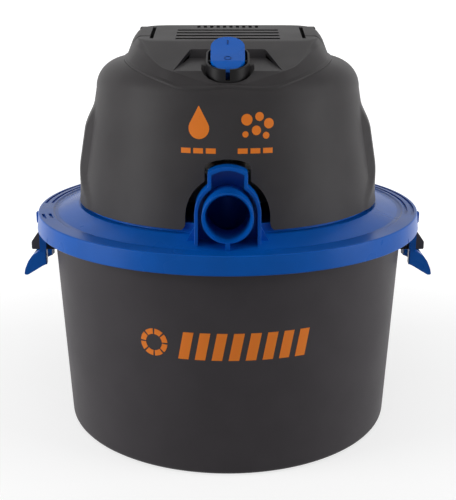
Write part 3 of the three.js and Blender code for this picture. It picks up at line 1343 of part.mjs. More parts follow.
function upperBracket() {
  const seat = BEARING_RADIUS + SEAT_GAP;
  const half = MOTOR_POST_RADIUS + 2;
  const arms = [1, -1].map((slope) => {
    const [x, y] = postPlaces[0];
    const arm = new THREE.BoxGeometry(2 * Math.hypot(x, y), 2 * half, FRAME_PLATE);
    arm.translate(0, 0, bracketBottom + FRAME_PLATE / 2).rotateZ(slope * Math.atan2(y, x));
    return solid(arm);
  });
  const spine = block(-8, 8, -STACK_DEPTH / 2 + 2, STACK_DEPTH / 2 - 2, bracketBottom, bracketTop);
  const hub = ring(seat, seat + BEARING_SEAT_WALL, bracketBottom, upperBearing + BEARING_HEIGHT);
  const posts = postPlaces.map(([x, y]) =>
    standing(MOTOR_POST_RADIUS, x, y, stackTop + SEAT_GAP, bracketTop));
  const through = rod(SHAFT_RADIUS + RUNNING_GAP, bracketBottom - 1, bracketTop + 1);
  const seatCut = rod(seat, bracketTop, bracketTop + 20);
  return cut(join(arms[0], arms[1], spine, hub, ...posts), through, seatCut);
}

// ---------- Filter cage, float and foam sleeve ----------
function filterCage() {
  const tube = turned([
    [cageInner, cageBottom],
    [CAGE_RADIUS, cageBottom],
    [CAGE_RADIUS, cageTop - CAGE_FLANGE_THICKNESS],
    [CAGE_RADIUS + CAGE_FLANGE_WIDTH, cageTop - CAGE_FLANGE_THICKNESS],
    [CAGE_RADIUS + CAGE_FLANGE_WIDTH, cageTop],
    [cageInner, cageTop],
  ], FAN_FACETS);
  const z0 = cageBottom + CAGE_SLOT_MARGIN;
  const z1 = cageTop - CAGE_SLOT_MARGIN;
  const slots = Array.from({ length: CAGE_SLOTS }, (_, i) => {
    const slot = new THREE.BoxGeometry(12, CAGE_SLOT_WIDTH, z1 - z0);
    slot.translate(CAGE_RADIUS - 1, 0, (z0 + z1) / 2);
    return solid(slot.rotateZ(((i + 0.5) * 2 * Math.PI) / CAGE_SLOTS));
  });
  const holes = cageScrewAngles.map((angle) => {
    const [x, y] = cageScrewPlace(angle);
    return standing(SCREW_RADIUS + SEAT_GAP, x, y, cageTop - 10, cageTop + 5);
  });
  return cut(tube, ...slots, ...holes);
}

function cageCap() {
  const outer = cageInner - SEAT_GAP;
  const top = cageBottom + CAGE_CAP_THICKNESS;
  const rim = ring(outer - 3, outer, cageBottom, top, FAN_FACETS);
  const lip = ring(outer - 3, CAGE_RADIUS, cageBottom - SEAT_GAP - 2, cageBottom - SEAT_GAP, FAN_FACETS);
  const neck = ring(outer - 3, outer, cageBottom - SEAT_GAP - 1, cageBottom + 1, FAN_FACETS);
  const spokes = [0, 60, 120].map((angle) => {
    const spoke = new THREE.BoxGeometry(2 * outer - 2, 3.4, CAGE_CAP_THICKNESS - 0.4);
    spoke.translate(0, 0, cageBottom + (CAGE_CAP_THICKNESS - 0.4) / 2);
    return solid(spoke.rotateZ(degrees(angle)));
  });
  return join(rim, neck, lip, ...spokes);
}

// A cup, open below, whose dome closes the suction hole when the drum is full.
function floatCup() {
  const t = FLOAT_WALL;
  const domeRadius = (FLOAT_RADIUS ** 2 + FLOAT_DOME ** 2) / (2 * FLOAT_DOME);
  const arc = [0.85, 0.6, 0.3].map((share) => {
    const r = share * FLOAT_RADIUS;
    return [r, FLOAT_SKIRT + FLOAT_DOME - domeRadius + Math.sqrt(domeRadius ** 2 - r ** 2)];
  });
  return turned(
    [
      [FLOAT_RADIUS - t, 0],
      [FLOAT_RADIUS, 0],
      [FLOAT_RADIUS, FLOAT_SKIRT],
      ...arc,
      [0, FLOAT_SKIRT + FLOAT_DOME],
      [0, FLOAT_SKIRT + FLOAT_DOME - t],
      ...arc.map(([r, z]) => [r * 0.96, z - t]).reverse(),
      [FLOAT_RADIUS - t, FLOAT_SKIRT - t / 2],
    ],
    SMALL_FACETS,
  );
}

const foamTop = cageTop - CAGE_FLANGE_THICKNESS - 3;
const foamSleeve = () =>
  ring(CAGE_RADIUS + SEAT_GAP, CAGE_RADIUS + FOAM_THICKNESS, foamTop - FOAM_LENGTH, foamTop, FAN_FACETS);

const foamBand = () => {
  const inner = CAGE_RADIUS + FOAM_THICKNESS + SEAT_GAP;
  return ring(inner, inner + BAND_THICKNESS, foamTop - 12 - BAND_WIDTH, foamTop - 12, FAN_FACETS);
};

// ---------- Screws ----------
// Head down, tip up, with the underside of the head at z = 0.
const screw = (length) =>
  turned(
    [
      [0, -SCREW_HEAD_HEIGHT],
      [SCREW_HEAD_RADIUS, -SCREW_HEAD_HEIGHT],
      [SCREW_HEAD_RADIUS, 0],
      [SCREW_RADIUS, 0],
      [SCREW_RADIUS, length],
      [0, length],
    ],
    PIN_FACETS,
  );

// ---------- Assembly ----------
function placed(made, x, y, z, turn = 0) {
  made.position.set(x, y, z);
  made.rotation.z = turn;
  return made;
}

function headShell() {
  const group = new THREE.Group();
  group.add(
    piece("lid", lid(), "blue"),
    piece("drum_gasket", drumGasket(), "rubber"),
    piece("inlet_deflector", inletDeflector(), "darkPlastic"),
    piece("motor_housing", housing(), "graphite"),
    piece("top_cover", topCover(), "graphite"),
    piece("exhaust_grille", exhaustGrille(), "darkPlastic"),
    piece("exhaust_duct", exhaustDuct(), "darkPlastic"),
    piece("cord_gland", cordGland(), "rubber"),
    piece("switch_bezel", switchBezel(), "graphite"),
    piece("switch_body", switchBody(), "darkPlastic"),
  );
  group.getObjectByName("inlet_deflector").position.y = -portElbowReach;
  group.add(placed(piece("rocker_pin", rockerPin(), "steel"), 0, rockerPivotY, rockerPivotZ));
  for (const [side, label] of [[-1, "left"], [1, "right"]]) {
    const armMiddle = side * (handleArmInner + HANDLE_PIN_GRIP - handlePinLength / 2);
    group.add(
      placed(piece(`latch_pin_${label}`, latchPin(), "steel"), side * latchPivotX, 0, latchPivotZ),
      placed(
        piece(`handle_pin_${label}`, handlePin(), "steel"), armMiddle, -HANDLE_PIVOT_REACH, handlePivotZ),
    );
  }
  return group;
}

function motor() {
  const group = new THREE.Group();
  group.add(
    piece("motor_gasket", motorGasket(), "rubber"),
    piece("fan_case", fanCase(), "whitePlastic"),
    piece("fan_cover", fanCover(), "aluminium"),
    piece("lower_bearing", bearing(lowerBearing), "steel"),
    piece("stator_core", statorCore(), "steel"),
    piece("upper_bracket", upperBracket(), "aluminium"),
    piece("upper_bearing", bearing(upperBearing), "steel"),
    piece("brush_holder_front", brushHolder(-1), "copper"),
    piece("brush_holder_rear", brushHolder(1), "copper"),
    piece("carbon_brush_front", carbonBrush(-1), "carbon"),
    piece("carbon_brush_rear", carbonBrush(1), "carbon"),
    placed(piece("field_coil_right", fieldCoil(), "copper"), 0, 0, 0),
    placed(piece("field_coil_left", fieldCoil(), "copper"), 0, 0, 0, Math.PI),
  );
  return group;
}

function rotor() {
  const group = new THREE.Group();
  group.add(
    piece("motor_shaft", shaft(), "steel"),
    piece("impeller", impeller(), "aluminium"),
    piece("fan_nut", fanNut(), "steel"),
    piece("armature_core", armatureCore(), "steel"),
    piece("armature_windings", armatureWindings(), "copper"),
    piece("commutator", commutator(), "copper"),
    piece("cooling_fan", coolingFan(), "darkPlastic"),
  );
  return group;
}

function filter() {
  const group = new THREE.Group();
  group.add(
    piece("filter_cage", filterCage(), "darkPlastic"),
    piece("cage_cap", cageCap(), "darkPlastic"),
    placed(piece("float_cup", floatCup(), "whitePlastic"), 0, 0, floatRest),
    piece("foam_sleeve", foamSleeve(), "foam"),
    piece("foam_band", foamBand(), "rubber"),
  );
  return group;
}

function screws() {
  const group = new THREE.Group();
  bossAngles.forEach((angle, i) => {
    const [x, y] = bossPlace(angle);
    group.add(placed(piece(`housing_screw_${i + 1}`, screw(16), "steel"), x, y, deckBottom - SEAT_GAP));
  });
  cageScrewAngles.forEach((angle, i) => {
    const [x, y] = cageScrewPlace(angle);
    const z = cageTop - CAGE_FLANGE_THICKNESS - SEAT_GAP;
    group.add(placed(piece(`cage_screw_${i + 1}`, screw(8), "steel"), x, y, z));
  });
  motorFootAngles.forEach((angle, i) => {
    const [x, y] = motorFootPlace(angle);
    group.add(placed(piece(`motor_screw_${i + 1}`, screw(14), "steel"), x, y, deckBottom - SEAT_GAP));
  });
  return group;
}

function latches() {
  const group = new THREE.Group();
  group.add(
    placed(piece("latch_right", latch(), "blue"), latchPivotX, 0, latchPivotZ),
    placed(piece("latch_left", latch(), "blue"), -latchPivotX, 0, latchPivotZ, Math.PI),
  );
  return group;
}

const vacuum = new THREE.Group();
vacuum.add(
  piece("drum", drum(), "charcoal"),
  headShell(),
  motor(),
  rotor(),
  filter(),
  screws(),
  latches(),
  placed(piece("carry_handle", carryHandle(), "graphite"), 0, -HANDLE_PIVOT_REACH, handlePivotZ),
  placed(piece("switch_rocker", rocker(), "blue"), 0, rockerPivotY, rockerPivotZ),
);

export default vacuum;
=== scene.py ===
import math

import bmesh
import bpy
from mathutils import Matrix, Vector


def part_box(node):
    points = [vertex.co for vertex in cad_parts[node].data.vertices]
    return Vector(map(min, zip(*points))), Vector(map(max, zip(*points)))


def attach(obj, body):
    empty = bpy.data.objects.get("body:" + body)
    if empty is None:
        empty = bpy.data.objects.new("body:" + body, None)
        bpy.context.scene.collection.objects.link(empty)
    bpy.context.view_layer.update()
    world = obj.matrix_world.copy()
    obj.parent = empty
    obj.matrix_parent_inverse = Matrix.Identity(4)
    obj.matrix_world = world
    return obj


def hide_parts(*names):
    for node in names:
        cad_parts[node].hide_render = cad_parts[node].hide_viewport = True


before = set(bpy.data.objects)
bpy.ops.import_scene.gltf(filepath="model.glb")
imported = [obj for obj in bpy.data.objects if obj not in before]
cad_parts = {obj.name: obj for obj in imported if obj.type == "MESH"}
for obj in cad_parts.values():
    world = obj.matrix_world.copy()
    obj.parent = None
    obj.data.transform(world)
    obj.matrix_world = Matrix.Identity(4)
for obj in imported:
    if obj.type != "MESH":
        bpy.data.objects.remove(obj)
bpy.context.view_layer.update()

bl_info = {
    "name": "Shop vacuum",
    "version": (1, 0, 0),
    "blender": (4, 5, 0),
    "location": "View3D > Sidebar > Vacuum",
    "description": "Builds the outer looks of a small wet and dry vacuum around its packed frame",
    "category": "Object",
}

MM = 0.001
RING = 192  # segments round the drum, lid and housing
FLOOR_REACH = 60.0

DRUM_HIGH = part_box("drum")[1]
BEZEL_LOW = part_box("switch_bezel")[0]
HANDLE_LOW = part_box("carry_handle")[0]


def length(name, description, default):
    return bpy.props.FloatProperty(name=name, description=description, default=default, unit="LENGTH")


def colour(name, description, default):
    return bpy.props.FloatVectorProperty(
        name=name, description=description, default=default, subtype="COLOR", size=3, min=0, max=1)


def linear(*levels):
    """Scene-linear colour of three display levels from 0 to 255."""
    shares = [level / 255 for level in levels]
    return tuple(s / 12.92 if s <= 0.04045 else ((s + 0.055) / 1.055) ** 2.4 for s in shares)


# ---------------------------------------------------------------- outlines
def mm(*points):
    """Points written in millimetres, in metres."""
    return [tuple(value * MM for value in point) for point in points]


def on_side(outline, side):
    """An outline as drawn for the right side (1), or mirrored to the left (-1)."""
    return [(side * x, z) for x, z in outline]


def circle(x, y, radius, count):
    turns = [2 * math.pi * k / count for k in range(count)]
    return [(x + radius * math.cos(t), y + radius * math.sin(t)) for t in turns]


def rounded(points, radius, steps=4):
    """A closed outline whose corners become arcs; radius is one value, or one for each corner."""
    radii = radius if isinstance(radius, (list, tuple)) else [radius] * len(points)
    outline = []
    for i, corner in enumerate(points):
        here = Vector(corner)
        back = Vector(points[i - 1]) - here
        on = Vector(points[(i + 1) % len(points)]) - here
        opening = back.angle(on)
        if radii[i] <= 0 or opening > math.radians(178):
            outline.append(tuple(here))
            continue
        run = min(radii[i] / math.tan(opening / 2), 0.49 * back.length, 0.49 * on.length)
        middle = here + (back.normalized() + on.normalized()).normalized() * run / math.cos(opening / 2)
        first = here + back.normalized() * run - middle
        last = here + on.normalized() * run - middle
        turn = first.angle_signed(last)
        for k in range(steps + 1):
            spoke = first.copy()
            spoke.rotate(Matrix.Rotation(-turn * k / steps, 2))
            outline.append(tuple(middle + spoke))
    return outline


def offset(outline, distance):
    """A closed outline moved inwards by a distance, corner by corner."""
    area = sum(a[0] * b[1] - b[0] * a[1] for a, b in zip(outline, outline[1:] + outline[:1]))
    sign = 1 if area > 0 else -1
    moved = []
    for i, corner in enumerate(outline):
        here = Vector(corner)
        back = (here - Vector(outline[i - 1])).normalized()
        on = (Vector(outline[(i + 1) % len(outline)]) - here).normalized()
        normals = [Vector((-d.y, d.x)) * sign for d in (back, on)]
        bisector = (normals[0] + normals[1]).normalized()
        moved.append(tuple(here + bisector * distance / max(0.3, bisector.dot(normals[0]))))
    return moved


def stadium(width, length_, y, turns=14):
    """A slot outline with round ends, its long way along Y."""
    radius = width / 2
    reach = length_ / 2 - radius
    outline = []
    for end, start in ((1, 0.0), (-1, math.pi)):
        for k in range(turns + 1):
            angle = start + math.pi * k / turns
            outline.append((radius * math.cos(angle), y + end * reach + radius * math.sin(angle)))
    return outline


# ---------------------------------------------------------------- solids
def placed(name, data):
    """A new object in the scene that shows a mesh, lamp or camera."""
    made = bpy.data.objects.new(name, data)
    bpy.context.scene.collection.objects.link(made)
    return made


def as_object(bm, name):
    """Turns a finished bmesh into an object in the scene, its faces pointing outwards."""
    bmesh.ops.remove_doubles(bm, verts=bm.verts, dist=1e-7)
    bmesh.ops.recalc_face_normals(bm, faces=bm.faces)
    mesh = bpy.data.meshes.new(name)
    bm.to_mesh(mesh)
    bm.free()
    return placed(name, mesh)


def ring_mesh(rows, closed_rows=True):
    """A bmesh of quads over closed rows of points; a row of one point is a pole."""
    bm = bmesh.new()
    verts = [[bm.verts.new(p) for p in row] for row in rows]
    count = max(len(row) for row in rows)
    pairs = list(zip(verts, verts[1:])) + ([(verts[-1], verts[0])] if closed_rows else [])
    for lower, upper in pairs:
        if len(lower) == 1 and len(upper) == 1:
            continue
        for i in range(count):
            j = (i + 1) % count
            corners = [row[k % len(row)] for row, k in ((lower, i), (lower, j), (upper, j), (upper, i))]
            unique = list(dict.fromkeys(corners))
            if len(unique) > 2:
                bm.faces.new(unique)
    return bm


def stacked(rings):
    """A closed bmesh over rings of equal count, its first and last ring filled in."""
    bm = ring_mesh(rings, closed_rows=False)
    bm.verts.ensure_lookup_table()
    count = len(rings[0])
    for level in (0, len(rings) - 1):
        bm.faces.new([bm.verts[level * count + i] for i in range(count)])
    bmesh.ops.recalc_face_normals(bm, faces=bm.faces)
    return bm


def revolved(name, outline, segments=RING):
    """A closed (radius, height) outline turned round Z."""
    rows = []
    for radius, z in outline:
        if radius < 1e-6:
            rows.append([(0, 0, z)])
            continue
        turns = [2 * math.pi * k / segments for k in range(segments)]
        rows.append([(radius * math.cos(t), radius * math.sin(t), z) for t in turns])
    return as_object(ring_mesh(rows), name)


def across(axis, a, b, level):
    """The point (a, b) of a flat outline, set at a level along the axis across it."""
    return {"X": (level, a, b), "Y": (a, level, b), "Z": (a, b, level)}[axis]


def prism(name, outline, low, high, axis="Z", soften=0.0, steps=3):
    """A straight solid with a flat outline, its edges rounded by soften."""
    bm = bmesh.new()
    ends = [[bm.verts.new(across(axis, a, b, level)) for a, b in outline] for level in (low, high)]
    bm.faces.new(ends[0])
    bm.faces.new(list(reversed(ends[1])))
    count = len(outline)
    for i in range(count):
        j = (i + 1) % count
        bm.faces.new([ends[0][i], ends[1][i], ends[1][j], ends[0][j]])
    made = as_object(bm, name)
    if soften:
        soften_edges(made, soften, steps)
    return made


def box_solid(name, low, high, soften=0.0, steps=3):
    outline = [(low[0], low[1]), (high[0], low[1]), (high[0], high[1]), (low[0], high[1])]
    return prism(name, outline, low[2], high[2], "Z", soften, steps)


def soften_edges(obj, width, steps=3, angle=28):
    """Rounds every edge sharper than an angle."""
    bevel = obj.modifiers.new("soften", "BEVEL")
    bevel.width = width
    bevel.segments = steps
    bevel.limit_method = "ANGLE"
    bevel.angle_limit = math.radians(angle)
    bake(obj)


def bake(obj):
    """Turns an object's modifiers into its mesh."""
    bpy.context.view_layer.update()
    evaluated = obj.evaluated_get(bpy.context.evaluated_depsgraph_get())
    mesh = bpy.data.meshes.new_from_object(evaluated)
    obj.modifiers.clear()
    old = obj.data
    obj.data = mesh
    bpy.data.meshes.remove(old)
    return obj


def combine(obj, tools, operation):
    """Joins, cuts or intersects obj with other solids, which are used up."""
    for tool in tools:
        step = obj.modifiers.new("combine", "BOOLEAN")
        step.operation = operation
        step.solver = "MANIFOLD"
        step.object = tool
    bake(obj)
    for tool in tools:
        bpy.data.meshes.remove(tool.data)
    if not obj.data.polygons:
        raise RuntimeError(f"{obj.name} came out empty")
    return obj


def joined(obj, *tools):
    return combine(obj, tools, "UNION")


def cut(obj, *tools):
    return combine(obj, tools, "DIFFERENCE")


def kept(obj, *tools):
    return combine(obj, tools, "INTERSECT")


def rod(name, radius, low, high, place, axis="Z", segments=48):
    """A round bar along an axis; place is its centre seen along that axis."""
    return prism(name, circle(*place, radius, segments), low, high, axis)


def finished(obj, material, body, replaces=(), sharp=32):
    """Gives a piece its finish, smooth shading and body, and hides the frame pieces it replaces."""
    mesh = obj.data
    mesh.materials.clear()
    mesh.materials.append(material)
    mesh.shade_smooth()
    mesh.set_sharp_from_angle(angle=math.radians(sharp))
    weigh = obj.modifiers.new("weigh normals", "WEIGHTED_NORMAL")
    weigh.keep_sharp = True
    bake(obj)
    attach(obj, body)
    if replaces:
        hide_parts(*replaces)
    return obj


# ---------------------------------------------------------------- shader helpers
class Value:
    """A socket that takes part in sums; each operation adds one Math node."""

    def __init__(self, sheet, socket):
        self.sheet = sheet
        self.socket = socket

    def maths(self, operation, *operands):
        slots = {i: operand for i, operand in enumerate(operands)}
        return self.sheet.add("ShaderNodeMath", {"operation": operation}, slots)

    def __add__(self, other):
        return self.maths("ADD", self, other)

    def __rsub__(self, other):
        return self.maths("SUBTRACT", other, self)

    def __mul__(self, other):
        return self.maths("MULTIPLY", self, other)

    __radd__ = __add__
    __rmul__ = __mul__

    def between(self, low, high):
        """0 below low, 1 above high, smooth in between."""
        return self.sheet.add(
            "ShaderNodeMapRange", {"interpolation_type": "SMOOTHSTEP", "clamp": True},
            {"Value": self, "From Min": low, "From Max": high})


class Sheet:
    """One material: its shader and the nodes that feed it."""

    def __init__(self, name):
        self.material = bpy.data.materials.new(name)
        self.material.use_nodes = True
        self.tree = self.material.node_tree
        self.shader = self.tree.nodes["Principled BSDF"]

    def add(self, kind, settings=None, inputs=None, output=0):
        node = self.tree.nodes.new(kind)
        for key, setting in (settings or {}).items():
            setattr(node, key, setting)
        for key, given in (inputs or {}).items():
            self.feed(node.inputs[key], given)
        return Value(self, node.outputs[output])

    def feed(self, socket, given):
        if isinstance(given, Value):
            self.tree.links.new(given.socket, socket)
        else:
            socket.default_value = given

    def place(self):
        return self.add("ShaderNodeTexCoord", output="Object")

    def noise(self, size, detail=2.0, roughness=0.5, stretch=(1, 1, 1)):
        """Even noise from 0 to 1 whose blots are about size metres across."""
        spot = self.add("ShaderNodeMapping", {}, {"Vector": self.place(), "Scale": stretch})
        given = {"Vector": spot, "Scale": 1 / size, "Detail": detail, "Roughness": roughness}
        return self.add("ShaderNodeTexNoise", {}, given)

    def mix(self, share, first, second):
        """A colour from first to second by share."""
        return self.add(
            "ShaderNodeMix", {"data_type": "RGBA"}, {0: share, 6: self.rgba(first), 7: self.rgba(second)}, 2)

    @staticmethod
    def rgba(given):
        return given if isinstance(given, Value) else (*given[:3], 1)

    def bump(self, height, distance, strength=1.0):
        given = {"Height": height, "Distance": distance, "Strength": strength}
        return self.add("ShaderNodeBump", {}, given)

    def finish(self, **sockets):
        for name, given in sockets.items():
            self.feed(self.shader.inputs[name.replace("_", " ")], given)
        return self.material


def tone(shade, factor):
    return tuple(min(1.0, channel * factor) for channel in shade[:3])


# ---------------------------------------------------------------- finishes
def moulded(name, shade, roughness, grain, depth, specular, mottle=0.12):
    """Moulded plastic: a spark-eroded grain, faint clouds of tone and small changes of gloss."""
    sheet = Sheet(name)
    clouds = sheet.noise(28 * MM, 3.0)
    pores = sheet.noise(grain, 3.0, 0.6)
    speck = sheet.noise(grain * 0.45, 2.0)
    colour_ = sheet.mix(clouds.between(0.3, 0.7), tone(shade, 1 - mottle), tone(shade, 1 + mottle))
    colour_ = sheet.mix(speck.between(0.62, 0.8) * 0.25, colour_, tone(shade, 1.9))
    sheet.feed(sheet.shader.inputs["Specular IOR Level"], specular)
    gloss = sheet.noise(60 * MM, 2.0).between(0.25, 0.75) * 0.08 + (roughness - 0.04)
    return sheet.finish(
        Base_Color=colour_, Roughness=gloss, Normal=sheet.bump(pores + 0.5 * speck, depth))


def foam_finish(name, shade):
    """Open-cell foam: pores darkened by painted shade between paler struts."""
    sheet = Sheet(name)
    cells = sheet.add(
        "ShaderNodeTexVoronoi", {"feature": "DISTANCE_TO_EDGE"},
        {"Vector": sheet.place(), "Scale": 1 / (2.2 * MM), "Randomness": 1.0})
    strut = 1 - cells.between(0.02, 0.22)
    # painted shade in the pores (0.35 of the foam's tone) against paler struts (1.5)
    colour_ = sheet.mix(strut, tone(shade, 0.35), tone(shade, 1.5))
    return sheet.finish(
        Base_Color=colour_, Roughness=0.95,
        Normal=sheet.bump(strut + 0.4 * sheet.noise(1.2 * MM), 0.9 * MM, 0.9))


def metal_finish(name, shade, roughness, stretch=(1, 1, 1), scratch=0.6 * MM):
    """Machined metal: fine marks along one way and a slight change of tone."""
    sheet = Sheet(name)
    marks = sheet.noise(scratch, 3.0, 0.6, stretch)
    colour_ = sheet.mix(sheet.noise(9 * MM).between(0.3, 0.7), tone(shade, 0.85), tone(shade, 1.08))
    sheet.feed(sheet.shader.inputs["Metallic"], 1.0)
    return sheet.finish(
        Base_Color=colour_, Roughness=marks * 0.2 + (roughness - 0.1), Normal=sheet.bump(marks, 0.05 * MM))


def rubber_finish(name, shade):
    sheet = Sheet(name)
    dust = sheet.noise(5 * MM, 4.0)
    colour_ = sheet.mix(dust.between(0.55, 0.8) * 0.5, shade, tone(shade, 2.4))
    return sheet.finish(
        Base_Color=colour_, Roughness=0.85, Normal=sheet.bump(sheet.noise(0.5 * MM, 3.0), 0.08 * MM))


def winding_finish(name, shade):
    """Enamelled copper wire: fine round strands side by side, shaded in their grooves and lit on their crowns
    by painted light and shade.
    """
    sheet = Sheet(name)
    strands = sheet.add(
        "ShaderNodeTexWave", {"wave_type": "BANDS", "bands_direction": "Z"},
        {"Vector": sheet.place(), "Scale": 1 / (4.4 * MM), "Distortion": 1.2, "Detail": 1.0})
    # painted shade in the grooves between strands (0.45 of the tone) and painted light on their crowns (1.1)
    colour_ = sheet.mix(strands, tone(shade, 0.45), tone(shade, 1.1))
    sheet.feed(sheet.shader.inputs["Metallic"], 0.9)
    return sheet.finish(Base_Color=colour_, Roughness=0.32, Normal=sheet.bump(strands, 0.25 * MM))


def laminate_finish(name, shade):
    """A stack of thin steel sheets seen on edge."""
    sheet = Sheet(name)
    sheets = sheet.add(
        "ShaderNodeTexWave", {"wave_type": "BANDS", "bands_direction": "Z"},
        {"Vector": sheet.place(), "Scale": 1 / (3.2 * MM), "Distortion": 0.0})
    rust = sheet.noise(7 * MM, 4.0)
    colour_ = sheet.mix(rust.between(0.55, 0.8) * 0.35, shade, (0.2, 0.11, 0.06))
    sheet.feed(sheet.shader.inputs["Metallic"], 0.85)
    return sheet.finish(
        Base_Color=colour_, Roughness=sheets * 0.2 + 0.4, Normal=sheet.bump(sheets, 0.15 * MM))


def ink_finish(name, shade):
    """Pad-printed ink, nearly even, with the grain of the plastic under it."""
    sheet = Sheet(name)
    cover = sheet.noise(1.2 * MM, 3.0)
    colour_ = sheet.mix(cover.between(0.6, 0.85) * 0.35, shade, tone(shade, 0.72))
    sheet.feed(sheet.shader.inputs["Specular IOR Level"], 0.3)
    return sheet.finish(
        Base_Color=colour_, Roughness=0.5, Normal=sheet.bump(sheet.noise(0.8 * MM, 3.0), 0.06 * MM))


BACKDROP_RAYS = ("Camera", "Glossy", "Transmission")  # the rays that meet the white background


def floor_finish(name, shade):
    """Pale even floor, lifted to plain white away from the object's shadow for eye, gloss and clear piece."""
    sheet = Sheet(name)
    clouds = sheet.noise(0.4, 2.0)
    colour_ = sheet.mix(clouds, tone(shade, 0.99), shade)
    away = sheet.add("ShaderNodeVectorMath", {"operation": "LENGTH"}, {0: sheet.place()}, "Value")
    rays = [sheet.add("ShaderNodeLightPath", output=f"Is {kind} Ray") for kind in BACKDROP_RAYS]
    seen = sum(rays[1:], rays[0]).between(0.0, 1.0)
    lift = (away.between(0.2, 0.8) * 0.32 + 0.68) * seen
    sheet.feed(sheet.shader.inputs["Emission Strength"], 1.0)
    return sheet.finish(
        Base_Color=colour_, Roughness=0.8, Emission_Color=sheet.mix(lift, (0, 0, 0), (1, 1, 1)))


# ---------------------------------------------------------------- sizes and colours
class DrumSizes(bpy.types.PropertyGroup):
    base_radius: length("Base radius", "Radius at the floor before the foot's rounding", 134.8 * MM)
    rim_radius: length("Rim radius", "Radius of the wall at its top", 143.3 * MM)
    wall: length("Wall", "Thickness of the moulded wall", 2.5 * MM)
    foot: length("Foot rounding", "Radius of the rounding between wall and base", 5 * MM)
    flange: length("Flange", "How far the rolled rim stands out", 4.3 * MM)


class LidSizes(bpy.types.PropertyGroup):
    rim_radius: length("Rim radius", "Outer radius of the rim's flat ring", 155 * MM)
    land: length("Land", "Width of the rim's flat ring", 11.5 * MM)
    port_radius: length("Port radius", "Outer radius of the hose port", 18 * MM)
    port_wall: length("Port wall", "Wall of the hose port", 2.4 * MM)
    groove: length("Groove", "Width of each drain groove in the land", 2.2 * MM)


class HeadSizes(bpy.types.PropertyGroup):
    base_radius: length("Base radius", "Radius of the motor housing's lower edge", 120.5 * MM)
    crown_radius: length("Crown radius", "Radius of the flat under the cover", 72 * MM)
    shoulder: length("Shoulder", "Height of the rounded shoulder", 24 * MM)
    pod_bulge: length("Pod bulge", "How far the side pods stand out", 4.9 * MM)
    wall: length("Wall", "Thickness of housing and cover", 2.5 * MM)


class Colours(bpy.types.PropertyGroup):
    drum: colour("Drum", "Charcoal of the drum", linear(63, 60, 63))
    head: colour("Head", "Graphite of housing, cover and handle", linear(62, 60, 61))
    blue: colour("Blue", "Lid, latches and rocker", linear(2, 88, 180))
    bezel: colour("Bezel", "Ring round the switch", linear(22, 21, 22))
    ink: colour("Ink", "Printed marks", linear(240, 130, 40))
    foam: colour("Foam", "Filter sleeve", linear(52, 53, 55))
    floor: colour("Floor", "The pale floor", (0.42, 0.42, 0.42))


def wanted(group):
    return getattr(bpy.context.scene, "vacuum_" + group)


class Paints:
    """Each finish is made once and shared."""

    made = {}

    @classmethod
    def get(cls, name):
        if name not in cls.made:
            cls.made[name] = getattr(cls, name)(wanted("colours"))
        return cls.made[name]

    @staticmethod
    def drum(shades):
        return moulded("drum plastic", tuple(shades.drum), 0.5, 0.9 * MM, 0.05 * MM, 0.12, 0.05)

    @staticmethod
    def head(shades):
        return moulded("head plastic", tuple(shades.head), 0.46, 0.8 * MM, 0.05 * MM, 0.09, 0.06)

    @staticmethod
    def blue(shades):
        return moulded("blue plastic", tuple(shades.blue), 0.3, 1.4 * MM, 0.015 * MM, 0.12, 0.06)

    # The rocker: the lid's blue plastic with its colour lifted 1.35 times as a painted sheen.
    @staticmethod
    def bright_blue(shades):
        return moulded("blue plastic with painted sheen", tone(shades.blue, 1.35), 0.26, 1.4 * MM, 0.015 * MM, 0.2, 0.06)

    @staticmethod
    def deep_blue(shades):
        return moulded("deep blue plastic", tone(shades.blue, 0.5), 0.4, 1.4 * MM, 0.015 * MM, 0.12, 0.06)

    @staticmethod
    def bezel(shades):
        return moulded("bezel plastic", tuple(shades.bezel), 0.42, 1.0 * MM, 0.02 * MM, 0.12, 0.08)

    @staticmethod
    def ink(shades):
        return ink_finish("printed ink", tuple(shades.ink))

    @staticmethod
    def foam(shades):
        return foam_finish("open-cell foam", tuple(shades.foam))

    @staticmethod
    def dark(shades):
        return moulded("dark plastic", linear(34, 34, 36), 0.55, 0.9 * MM, 0.04 * MM, 0.4)

    @staticmethod
    def white(shades):
        return moulded("white plastic", linear(214, 212, 204), 0.45, 1.2 * MM, 0.02 * MM, 0.45, 0.05)

    @staticmethod
    def steel(shades):
        return metal_finish("ground steel", (0.52, 0.53, 0.55), 0.34)

    @staticmethod
    def laminate(shades):
        return laminate_finish("steel laminations", (0.34, 0.34, 0.35))

    @staticmethod
    def aluminium(shades):
        return metal_finish("cast aluminium", (0.62, 0.63, 0.64), 0.45, (1, 1, 1), 2.5 * MM)

    @staticmethod
    def copper(shades):
        return metal_finish("copper", (0.75, 0.36, 0.2), 0.35, (1, 1, 0.1))

    @staticmethod
    def winding(shades):
        return winding_finish("copper winding", (0.62, 0.25, 0.1))

    @staticmethod
    def carbon(shades):
        return rubber_finish("pressed carbon", linear(34, 34, 36))

    @staticmethod
    def rubber(shades):
        return rubber_finish("rubber", linear(26, 26, 28))


# ---------------------------------------------------------------- drum
def drum_lug(side):
    """The ramped lug that a latch hooks under."""
    reach = DRUM_HIGH.x
    foot = 139.8 * MM
    wall = 140.6 * MM
    outline = [
        (wall, foot), (reach, foot), (reach, foot + 6.5 * MM), (reach - 5.5 * MM, foot + 14.4 * MM),
        (reach - 11 * MM, foot + 17 * MM), (wall, foot + 17 * MM)]
    radii = [0, 1.2 * MM, 3 * MM, 6 * MM, 6 * MM, 0]
    lug = prism("lug", on_side(rounded(outline, radii, 5), side), -8.5 * MM, 8.5 * MM, "Y")
    soften_edges(lug, 0.7 * MM, 2, 40)
    return lug


